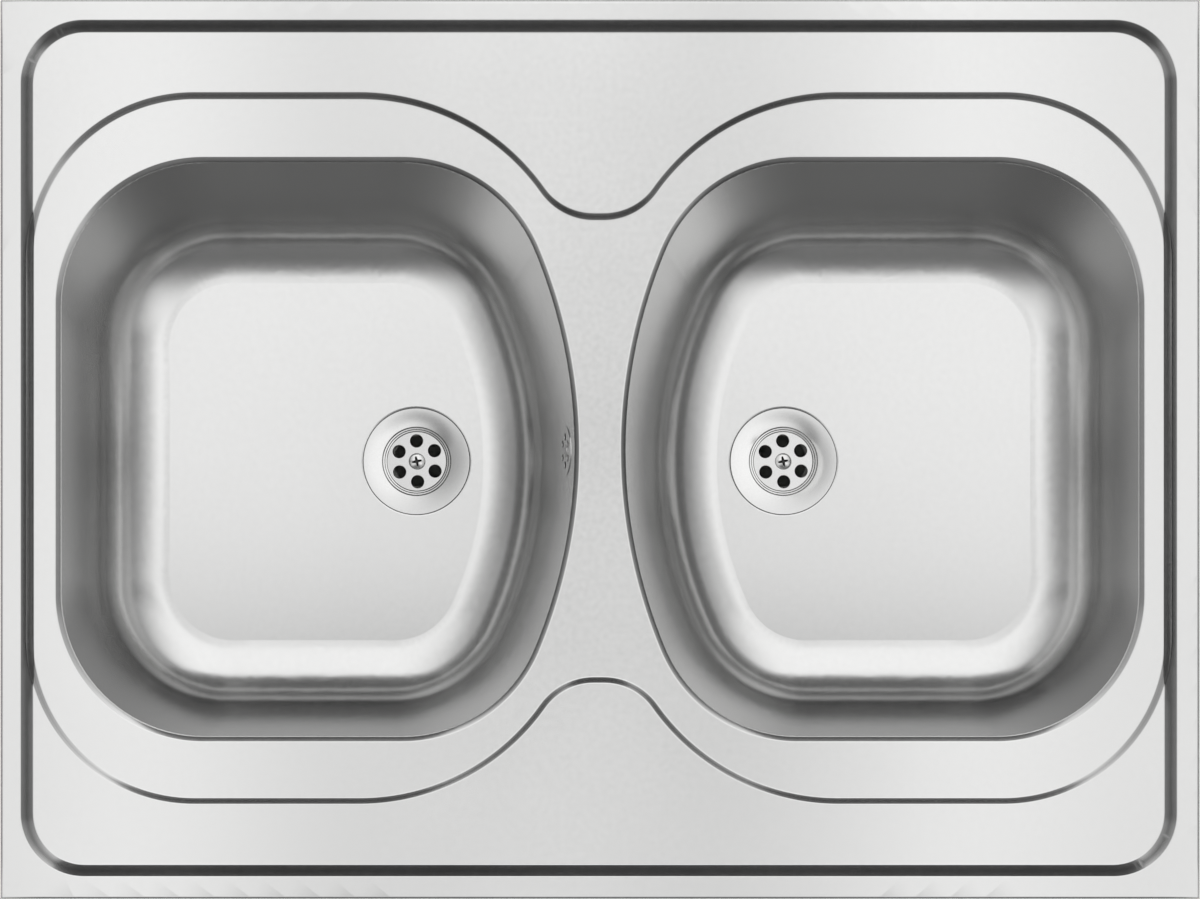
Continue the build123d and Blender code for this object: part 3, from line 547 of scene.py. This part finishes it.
def makeStrainer(name, size, middle):
    flatRadius = size["gridRadius"] - size["cornerRadius"]
    piece = layGrid(name, size, middle, flatRadius)
    profile = roundedPath([
        (flatRadius, size["gridLevel"], 0), (size["gridRadius"], size["gridLevel"], size["cornerRadius"]),
        *size["wall"],
        (size["flangeRadius"] - size["edgeLean"], size["flangeLevel"], size["edgeRoll"] / 2),
        (size["flangeRadius"], size["flangeLevel"] - size["edgeRoll"], 0),
    ])
    pullRing(piece, middle, flatRadius, profile[1:])
    finishSheet(piece, size["sheet"], size["smoothAngle"])
    return piece


screwSizes = {
    "headRadius": 5.8, "crown": 2.0, "rim": 0.4, "seatLevel": -125.9,
    "crossReach": 3.6, "crossHalf": 1.1, "crossDepth": 2.0, "crossTurn": 12.0,
    "shankRadius": 3.0, "shankLength": 24.0,
    "headRings": 12, "headSides": 48, "grooveSteps": 6, "mergeGap": 0.03, "smoothAngle": 30.0,
}


def crossCorners(size, middle):
    # outline of the cross: three corners to each arm
    half, reach = size["crossHalf"], size["crossReach"]
    corners = []
    for n in range(4):
        angle = math.radians(size["crossTurn"]) + math.pi / 2 * n
        cos, sin = math.cos(angle), math.sin(angle)
        for along, across in ((half, -half), (reach, -half / 2), (reach, half / 2)):
            corners.append((middle[0] + along * cos - across * sin, middle[1] + along * sin + across * cos))
    return corners


def makeScrew(name, size, middle):
    # domed head with a V-shaped cross, and the shank below it
    turn = math.radians(size["crossTurn"])
    steps = size["grooveSteps"]
    points, edges = [], []
    for k in range(size["headRings"]):
        radius = size["headRadius"] * math.sin(math.pi / 2 * (k + 1) / size["headRings"])
        addPath(points, edges, ring(middle, radius, size["headSides"]))
    addPath(points, edges, crossCorners(size, middle))
    for n in range(4):
        angle = turn + math.pi / 2 * n
        tip = Vector(middle) + size["crossReach"] * Vector((math.cos(angle), math.sin(angle)))
        groove = [Vector(middle).lerp(tip, k / steps) for k in range(steps + 1)]
        addPath(points, edges, groove, closed=False)

    def headLevel(x, y):
        x, y = x - middle[0], y - middle[1]
        along = x * math.cos(turn) + y * math.sin(turn)
        across = y * math.cos(turn) - x * math.sin(turn)
        outwards = math.hypot(x, y) / size["headRadius"]
        dome = size["crown"] * math.sqrt(max(0, 1 - outwards ** 2)) + size["rim"]
        groove = 0
        for far, beside in ((abs(along), abs(across)), (abs(across), abs(along))):
            width = size["crossHalf"] * (1 - 0.5 * far / size["crossReach"])
            groove = max(groove, min(1 - beside / width, (size["crossReach"] - far) / size["crossHalf"]))
        return size["seatLevel"] + dome - size["crossDepth"] * max(0, groove)

    piece = layPoints(name, points, edges, headLevel, lambda x, y: True)
    end = size["seatLevel"] - size["shankLength"]
    pullRing(piece, middle, size["headRadius"], [
        (size["headRadius"], size["seatLevel"] + near["face"]), (size["shankRadius"], size["seatLevel"]),
        (size["shankRadius"], end), (near["edge"], end - near["edge"]),
    ])
    cleanMesh(piece, size["mergeGap"])
    toMetres(piece)
    bpy.ops.object.shade_smooth_by_angle(angle=math.radians(size["smoothAngle"]))
    return piece


for side, word in ((-1, "left"), (1, "right")):
    middle = (side * strainerSizes["place"][0], strainerSizes["place"][1])
    strainer = makeStrainer(word + "StrainerSheet", strainerSizes, middle)
    screw = makeScrew(word + "PanScrew", screwSizes, middle)
    standFor(strainer, word + "_strainer", "strainer_steel")
    standFor(screw, word + "_strainer_screw", "screw_steel")
print("strainers made:", len(newPieces), "pieces")


# overflow: a thin round cover on the left bowl's inner wall, made flat and then turned onto the wall

overflowSizes = {
    "place": (-23.58, -1.0, -9.88), "wallTilt": 12.5, "wallRadius": 352.0, "wallGap": 0.5,
    "sheet": 0.4, "gridLevel": 0.5, "radius": 17.0, "edgeRoll": 0.4, "edgeLean": 0.01, "smoothAngle": 50.0,
    "holes": 6, "holeRadius": 2.6, "holeCircle": 9.5, "holeTurn": 30.0,
    "holeRoll": 0.3, "holeDepth": 0.5, "holeLean": 0.02,
    "screwHole": 2.7, "holdingRing": 0.25, "roundSteps": 64, "holeSteps": 28,
}
overflowScrewSizes = screwSizes | {
    "headRadius": 4.2, "crown": 0.4, "rim": 0.15, "seatLevel": 0.0,
    "crossReach": 2.4, "crossHalf": 0.7, "crossDepth": 0.4, "shankRadius": 2.5, "shankLength": 17.4,
}


def makeOverflowCover(name, size):
    flatRadius = size["radius"] - size["edgeRoll"]
    piece = layGrid(name, size, (0, 0), flatRadius)
    edge = roundedPath([
        (flatRadius, size["gridLevel"], 0),
        (size["radius"], size["gridLevel"], size["edgeRoll"] - rollSlack),
        (size["radius"] + size["edgeLean"], 0, 0),
    ])
    pullRing(piece, (0, 0), flatRadius, edge[1:])
    for vert in piece.data.vertices:
        # follows the curved wall
        vert.co.z += vert.co.y ** 2 / (2 * size["wallRadius"]) - size["wallGap"]
    finishSheet(piece, size["sheet"], size["smoothAngle"])
    return piece


def seatOnWall(piece):
    makeActive(piece)
    piece.rotation_euler = (0, math.radians(overflowSizes["wallTilt"] - 90), 0)
    piece.location = Vector(overflowSizes["place"]) / 1000
    bpy.ops.object.transform_apply(location=True, rotation=True, scale=True)
    return piece


cover = seatOnWall(makeOverflowCover("overflowCover", overflowSizes))
standFor(cover, "overflow_rosette", "bowl_steel")
coverScrew = seatOnWall(makeScrew("overflowPanScrew", overflowScrewSizes, (0, 0)))
standFor(coverScrew, "overflow_screw", "bowl_steel")
print("overflow cover made")


# materials

def newMaterial(name):
    material = bpy.data.materials.new(name)
    material.use_nodes = True
    return material, material.node_tree


def addNode(tree, kind, inputs=None, **settings):
    node = tree.nodes.new(kind)
    for key, value in settings.items():
        setattr(node, key, value)
    for key, value in (inputs or {}).items():
        if isinstance(value, bpy.types.NodeSocket):
            tree.links.new(value, node.inputs[key])
        else:
            node.inputs[key].default_value = value
    return node


def addMath(tree, operation, *values):
    return addNode(tree, "ShaderNodeMath", dict(enumerate(values)), operation=operation).outputs["Value"]


def addNoise(tree, place, scale, detail):
    inputs = {"Vector": place, "Scale": scale, "Detail": detail}
    return addNode(tree, "ShaderNodeTexNoise", inputs).outputs["Fac"]


def splitAxes(tree, vector):
    return addNode(tree, "ShaderNodeSeparateXYZ", {"Vector": vector}).outputs


def newGroup(name, sockets, results):
    # node group with named inputs and outputs
    group = bpy.data.node_groups.new(name, "ShaderNodeTree")
    for label, kind in sockets:
        group.interface.new_socket(name=label, in_out="INPUT", socket_type=kind)
    for label, kind in results:
        group.interface.new_socket(name=label, in_out="OUTPUT", socket_type=kind)
    return group, addNode(group, "NodeGroupInput").outputs, addNode(group, "NodeGroupOutput")


finishSockets = [
    ("Cloud Scale", "NodeSocketFloat"), ("Grain Scale", "NodeSocketFloat"),
    ("Dark", "NodeSocketColor"), ("Light", "NodeSocketColor"),
    ("Smooth", "NodeSocketFloat"), ("Rough", "NodeSocketFloat"),
]
finishResults = [
    ("Colour", "NodeSocketColor"), ("Roughness", "NodeSocketFloat"), ("Height", "NodeSocketFloat"),
]
rolledSockets = [
    ("Streak Scale", "NodeSocketVector"),
    ("Sheen Band Length", "NodeSocketFloat"), ("Sheen Band Depth", "NodeSocketFloat"),
]
rolledPattern = {
    "toneFrom": 0.6, "toneTo": 1.4,   # streaks and clouds together, at the darkest and the lightest tone
    "sheenBandDrift": 0.03,                # how far the clouds push the bands aside
    "sheenBandTurn": 0.4,                  # where the first band begins
}
wallSockets = [
    ("Colour", "NodeSocketColor"), ("Steep Loss", "NodeSocketFloat"),
    ("Outer Loss", "NodeSocketFloat"), ("Front Loss", "NodeSocketFloat"),
]
# upward part of the normal where the painted wall shade is full, and where it ends
wallShadeFacing = {"steep": 0.35, "level": 0.75}


def closeGroup(group, ends, fac, value, grain):
    # colour and roughness between their two values, and the grain as height
    tones = {"Factor": fac, "A": value["Dark"], "B": value["Light"]}
    colour = addNode(group, "ShaderNodeMix", tones, data_type="RGBA")
    roughnesses = {"Value": fac, "To Min": value["Smooth"], "To Max": value["Rough"]}
    rough = addNode(group, "ShaderNodeMapRange", roughnesses)
    group.links.new(colour.outputs["Result"], ends.inputs["Colour"])
    group.links.new(rough.outputs["Result"], ends.inputs["Roughness"])
    group.links.new(grain, ends.inputs["Height"])
    return colour.outputs["Result"]


def makeRolledMetalAndSheen():
    # rolling streaks over broad clouds and a fine grain, with broad soft bands across the sheet that are
    # painted reflections of a slightly wavy sheet
    group, value, ends = newGroup("rolledMetalAndSheen", finishSockets + rolledSockets, finishResults)
    place = addNode(group, "ShaderNodeTexCoord").outputs["Object"]
    streakMap = addNode(group, "ShaderNodeMapping", {"Vector": place, "Scale": value["Streak Scale"]})
    streaks = addNoise(group, streakMap.outputs["Vector"], 1.0, 3.0)
    cloud = addNoise(group, place, value["Cloud Scale"], 2.0)
    grain = addNoise(group, place, value["Grain Scale"], 2.0)
    tone = addNode(group, "ShaderNodeMapRange", {
        "Value": addMath(group, "ADD", streaks, cloud),
        "From Min": rolledPattern["toneFrom"], "From Max": rolledPattern["toneTo"],
    })
    colour = closeGroup(group, ends, tone.outputs["Result"], value, grain)
    # painted reflection: soft bands of lighter and darker colour across the sheet, in place of the
    # reflections of a wavy sheet
    across = splitAxes(group, place)["X"]
    drift = addMath(group, "MULTIPLY_ADD", cloud, rolledPattern["sheenBandDrift"], across)
    turns = addMath(group, "DIVIDE", drift, value["Sheen Band Length"])
    angle = addMath(group, "MULTIPLY_ADD", turns, 2 * math.pi, rolledPattern["sheenBandTurn"])
    wave = addMath(group, "COSINE", angle)
    band = addMath(group, "MULTIPLY_ADD", wave, value["Sheen Band Depth"], 1.0)
    banded = addNode(group, "ShaderNodeVectorMath", {0: colour, "Scale": band}, operation="SCALE")
    group.links.new(banded.outputs["Vector"], ends.inputs["Colour"])
    return group


def makeMouldedSkin():
    # soft clouds of tone and a fine moulded grain
    group, value, ends = newGroup("mouldedSkin", finishSockets, finishResults)
    place = addNode(group, "ShaderNodeTexCoord").outputs["Object"]
    cloud = addNoise(group, place, value["Cloud Scale"], 3.0)
    grain = addNoise(group, place, value["Grain Scale"], 2.0)
    closeGroup(group, ends, cloud, value, grain)
    return group


def makePaintedWallShade():
    # painted shade: darker colour where the surface is steep, most at the outer and front walls
    group, value, ends = newGroup("paintedWallShade", wallSockets, [("Colour", "NodeSocketColor")])
    coordinates = addNode(group, "ShaderNodeTexCoord").outputs
    facing = splitAxes(group, coordinates["Normal"])
    side = addMath(group, "SIGN", splitAxes(group, coordinates["Object"])["X"])
    inward = addMath(group, "MULTIPLY", facing["X"], side)
    outer = addMath(group, "MULTIPLY", inward, value["Outer Loss"])
    sideLoss = addMath(group, "SUBTRACT", value["Steep Loss"], outer)
    front = addMath(group, "MAXIMUM", facing["Y"], 0.0)
    loss = addMath(group, "MULTIPLY_ADD", front, value["Front Loss"], sideLoss)
    level = addNode(group, "ShaderNodeMapRange", {
        "Value": facing["Z"], "From Min": wallShadeFacing["steep"], "From Max": wallShadeFacing["level"],
        "To Min": addMath(group, "SUBTRACT", 1.0, loss), "To Max": 1.0,
    })
    scaling = {0: value["Colour"], "Scale": level.outputs["Result"]}
    wallShaded = addNode(group, "ShaderNodeVectorMath", scaling, operation="SCALE")
    group.links.new(wallShaded.outputs["Vector"], ends.inputs["Colour"])
    return group


def domeHeight(tree, axes, crowns):
    # crowned from front to back, and more so over the front half
    front = addMath(tree, "MINIMUM", axes["Y"], 0.0)
    height = 0.0
    for crown, depth in zip(crowns, (axes["Y"], front)):
        squared = addMath(tree, "MULTIPLY", depth, depth)
        height = addMath(tree, "MULTIPLY_ADD", squared, -crown, height)
    return height


def tiltHeight(tree, axes, slopes):
    # leaning as a whole, sideways and backwards
    backwards = addMath(tree, "MULTIPLY", axes["Y"], slopes[1])
    return addMath(tree, "MULTIPLY_ADD", axes["X"], slopes[0], backwards)


lookSockets = {
    "cloud": "Cloud Scale", "grain": "Grain Scale", "smooth": "Smooth", "rough": "Rough",
    "streak": "Streak Scale", "sheenBandLength": "Sheen Band Length", "sheenBandDepth": "Sheen Band Depth",
}


def finishMaterial(name, group, look):
    # a material from a group's colour, roughness and height; dome and tilt are broad forms of the surface
    material, tree = newMaterial(name)
    shader = tree.nodes["Principled BSDF"]
    shader.inputs["Metallic"].default_value = look.get("metallic", 0.0)
    shader.inputs["Specular IOR Level"].default_value = look.get("specular", 0.5)
    finish = addNode(tree, "ShaderNodeGroup", node_tree=group)
    for key, label in lookSockets.items():
        if key in look:
            finish.inputs[label].default_value = look[key]
    finish.inputs["Dark"].default_value = (*look["dark"], 1)
    finish.inputs["Light"].default_value = (*look["light"], 1)
    colour = finish.outputs["Colour"]
    # painted shade: the wall group darkens the colour by which way the surface faces
    if "wall" in look:
        wall = addNode(tree, "ShaderNodeGroup", node_tree=paintedWallShade)
        for label, loss in zip(("Steep Loss", "Outer Loss", "Front Loss"), look["wall"]):
            wall.inputs[label].default_value = loss
        tree.links.new(colour, wall.inputs["Colour"])
        colour = wall.outputs["Colour"]
    tree.links.new(colour, shader.inputs["Base Color"])
    tree.links.new(finish.outputs["Roughness"], shader.inputs["Roughness"])
    bump = addNode(tree, "ShaderNodeBump", {
        "Strength": look["bump"], "Distance": look["bumpSize"], "Height": finish.outputs["Height"],
    })
    tree.links.new(bump.outputs["Normal"], shader.inputs["Normal"])
    for key, formHeight in (("dome", domeHeight), ("tilt", tiltHeight)):
        if key in look:
            axes = splitAxes(tree, addNode(tree, "ShaderNodeTexCoord").outputs["Object"])
            height = formHeight(tree, axes, look[key])
            form = addNode(tree, "ShaderNodeBump", {"Strength": 1.0, "Distance": 1.0, "Height": height})
            tree.links.new(form.outputs["Normal"], bump.inputs["Normal"])
    return material


rolledMetalAndSheen = makeRolledMetalAndSheen()
mouldedSkin = makeMouldedSkin()
paintedWallShade = makePaintedWallShade()
steelLook = {
    "metallic": 1.0, "streak": (260, 260, 6), "cloud": 9.0, "grain": 120.0, "smooth": 0.15, "rough": 0.19,
    "dark": (0.75, 0.75, 0.745), "light": (0.79, 0.79, 0.785), "bump": 0.05, "bumpSize": 0.0001,
    # the bands are painted reflections; only the deck's steel keeps a band depth above zero
    "sheenBandLength": 0.275, "sheenBandDepth": 0.05,
}
sinkSteel = finishMaterial("sinkSteel", rolledMetalAndSheen, steelLook | {"dome": (-0.05, 0.0)})
bowlSteel = finishMaterial("bowlSteel", rolledMetalAndSheen, steelLook | {
    "smooth": 0.20, "rough": 0.23, "sheenBandDepth": 0.0,
    "dark": (0.79, 0.79, 0.785), "light": (0.83, 0.83, 0.825),
    # the wall values paint shade on the bowls' steep walls, more on the outer and front walls
    "dome": (0.06, 0.17), "wall": (0.27, 0.32, 0.48),
})
strainerSteel = finishMaterial("strainerSteel", rolledMetalAndSheen, steelLook | {
    "streak": (700, 700, 60), "cloud": 30.0, "grain": 2500.0, "sheenBandDepth": 0.0,
    "smooth": 0.10, "rough": 0.15, "dark": (0.80, 0.80, 0.795), "light": (0.86, 0.86, 0.855),
    # the wall value paints shade on the strainer's steep cup walls and hole edges
    "tilt": (0.225, -0.145), "wall": (0.7, 0.0, 0.0),
})
screwSteel = finishMaterial("screwSteel", rolledMetalAndSheen, steelLook | {
    "streak": (900, 900, 900), "cloud": 80.0, "grain": 3000.0, "sheenBandDepth": 0.0,
    "smooth": 0.08, "rough": 0.14, "dark": (0.78, 0.78, 0.775), "light": (0.84, 0.84, 0.835),
    # the wall value paints a dark shaded rim around the screw head's steep edge
    "wall": (0.75, 0.0, 0.0),
})
bracketZinc = finishMaterial("bracketZinc", rolledMetalAndSheen, {
    "metallic": 1.0, "streak": (300, 60, 300), "cloud": 60.0, "grain": 1500.0,
    "smooth": 0.30, "rough": 0.42, "bump": 0.1, "bumpSize": 0.0002,
    "dark": (0.60, 0.62, 0.64), "light": (0.68, 0.70, 0.72), "sheenBandLength": 1.0, "sheenBandDepth": 0.0,
})
brassMetal = finishMaterial("brassMetal", rolledMetalAndSheen, {
    "metallic": 1.0, "streak": (500, 500, 30), "cloud": 80.0, "grain": 2500.0,
    "smooth": 0.25, "rough": 0.38, "bump": 0.05, "bumpSize": 0.0002,
    "dark": (0.70, 0.52, 0.25), "light": (0.80, 0.62, 0.32), "sheenBandLength": 1.0, "sheenBandDepth": 0.0,
})
whitePlastic = finishMaterial("whitePlastic", mouldedSkin, {
    "cloud": 25.0, "grain": 900.0, "dark": (0.74, 0.74, 0.71), "light": (0.82, 0.82, 0.80),
    "smooth": 0.32, "rough": 0.45, "bump": 0.15, "bumpSize": 0.0003,
})
greyPlastic = finishMaterial("greyPlastic", mouldedSkin, {
    "cloud": 30.0, "grain": 900.0, "dark": (0.32, 0.33, 0.34), "light": (0.38, 0.39, 0.40),
    "smooth": 0.35, "rough": 0.5, "bump": 0.2, "bumpSize": 0.0003,
})
blackRubber = finishMaterial("blackRubber", mouldedSkin, {
    "specular": 0.35, "cloud": 60.0, "grain": 1200.0,
    "dark": (0.018, 0.018, 0.018), "light": (0.035, 0.035, 0.035),
    "smooth": 0.6, "rough": 0.8, "bump": 0.3, "bumpSize": 0.0003,
})
soundPad = finishMaterial("soundPad", mouldedSkin, {
    "specular": 0.3, "cloud": 40.0, "grain": 500.0,
    "dark": (0.035, 0.035, 0.037), "light": (0.065, 0.065, 0.07),
    "smooth": 0.7, "rough": 0.9, "bump": 0.6, "bumpSize": 0.0003,
})

finishes = {
    "sink_steel": sinkSteel, "strainer_steel": strainerSteel, "screw_steel": screwSteel,
    "bracket_zinc": bracketZinc, "brass": brassMetal, "white_plastic": whitePlastic,
    "grey_plastic": greyPlastic, "black_rubber": blackRubber, "sound_pad": soundPad,
    "bowl_steel": bowlSteel,       # the bowls' own grade of the sink's steel
}
for part in frame["record"]["subparts"]:
    for slot in nodes[part["node"]].material_slots:
        slot.material = finishes[part["material_slot"]]
for bowl in ("left_bowl", "right_bowl"):
    nodes[bowl].material_slots[0].material = bowlSteel
for piece, finish in newPieces:
    piece.data.materials.append(finishes[finish])
print("materials set:", len(finishes))


# floor and sky

studio = {
    "floorSize": 12.0, "floorGap": 0.0005, "floorColour": (0.80, 0.80, 0.79), "floorRoughness": 0.9,
    # what the steel mirrors: brightness from left to right
    "sideStops": ((0.0, 0.33), (0.10, 0.38), (0.15, 0.46), (0.20, 0.58), (0.25, 0.72), (0.30, 0.83),
                  (0.40, 0.97), (0.50, 1.0), (0.62, 1.0), (0.70, 0.92), (0.75, 0.82), (0.80, 0.70),
                  (0.85, 0.56), (0.90, 0.42), (0.95, 0.33), (1.0, 0.30)),
    # brightness from the back (0) to the front (1), which starts later off the middle
    "frontShift": 0.68,
    "frontStops": ((0.0, 1.08), (0.45, 1.08), (0.50, 1.02), (0.525, 0.95), (0.55, 0.82), (0.575, 0.63),
                   (0.60, 0.50), (0.64, 0.32), (0.68, 0.24), (0.72, 0.18), (0.80, 0.15), (1.0, 0.20)),
    # the low back ends sharply, and the horizon is dark all round
    "backStops": ((0.83, 1.0), (0.85, 0.60), (0.87, 0.16), (1.0, 0.12)),
    "horizonStops": ((0.0, 0.03), (0.20, 0.06), (0.30, 0.12), (0.36, 0.35), (0.42, 1.0)),
    # a gap between front and back, off to the sides
    "gapStops": ((0.0, 0.58), (0.06, 0.65), (0.13, 1.0)),
    "gapSide": ((0.20, 0.0), (0.50, 1.0)),
    # darker straight above
    "spotStops": ((0.0, 0.30), (0.12, 0.42), (0.22, 0.66), (0.32, 0.88), (0.42, 1.0)),
    "spotSpread": 0.18,
}
floorLevel = cadBox[0].z - studio["floorGap"]
bpy.ops.mesh.primitive_plane_add(size=studio["floorSize"], location=(0, 0, floorLevel))
floor = bpy.context.object
floor.name = "floor"
floorMaterial, floorTree = newMaterial("floorPaper")
floorTree.nodes["Principled BSDF"].inputs["Base Color"].default_value = (*studio["floorColour"], 1)
floorTree.nodes["Principled BSDF"].inputs["Roughness"].default_value = studio["floorRoughness"]
floor.data.materials.append(floorMaterial)

world = bpy.data.worlds.new("studioSky")
bpy.context.scene.world = world
world.use_nodes = True
sky = world.node_tree


def skyCurve(value, stops):
    # brightness over a value from 0 to 1, as (place, brightness) stops
    ramp = addNode(sky, "ShaderNodeValToRGB", {"Fac": value})
    band = ramp.color_ramp
    band.interpolation = "LINEAR"
    while len(band.elements) < len(stops):
        band.elements.new(0.5)
    for element, (place, bright) in zip(band.elements, stops):
        element.position = place
        element.color = (bright, bright, bright, 1)
    return ramp.outputs["Color"]


def skyMath(operation, *values):
    return addMath(sky, operation, *values)


axes = splitAxes(sky, addNode(sky, "ShaderNodeTexCoord").outputs["Generated"])
sideways = skyMath("ABSOLUTE", axes["X"])
depthways = skyMath("ABSOLUTE", axes["Y"])
leftRight = skyCurve(skyMath("MULTIPLY_ADD", axes["X"], 0.5, 0.5), studio["sideStops"])
forwards = skyMath("MULTIPLY", axes["Y"], -1.0)
frontness = skyMath("SUBTRACT", forwards, skyMath("MULTIPLY", sideways, studio["frontShift"]))
backFront = skyCurve(skyMath("MULTIPLY_ADD", frontness, 0.5, 0.5), studio["frontStops"])
overHorizon = skyCurve(axes["Z"], studio["horizonStops"])
horizon = skyMath("MULTIPLY", overHorizon, skyCurve(axes["Y"], studio["backStops"]))
inGap = skyCurve(sideways, studio["gapSide"])
gapLoss = skyMath("MULTIPLY", inGap, skyMath("SUBTRACT", 1.0, skyCurve(depthways, studio["gapStops"])))
squares = skyMath("ADD", skyMath("POWER", sideways, 2.0), skyMath("POWER", depthways, 2.0))
offCentre = skyMath("SQRT", squares)
spot = skyCurve(skyMath("DIVIDE", offCentre, studio["spotSpread"]), studio["spotStops"])
dome = skyMath("MULTIPLY", skyMath("MULTIPLY", leftRight, backFront), skyMath("MULTIPLY", horizon, spot))
dome = skyMath("MULTIPLY", dome, skyMath("SUBTRACT", 1.0, gapLoss))
# only reflections see the shaped studio; everything else sees plain white
light = addNode(sky, "ShaderNodeLightPath")
level = addNode(sky, "ShaderNodeMix", {"Factor": light.outputs["Is Glossy Ray"], "A": 1.0, "B": dome})
sky.links.new(level.outputs["Result"], sky.nodes["Background"].inputs["Strength"])
sky.nodes["Background"].inputs["Color"].default_value = (1, 1, 1, 1)
print("studio set")
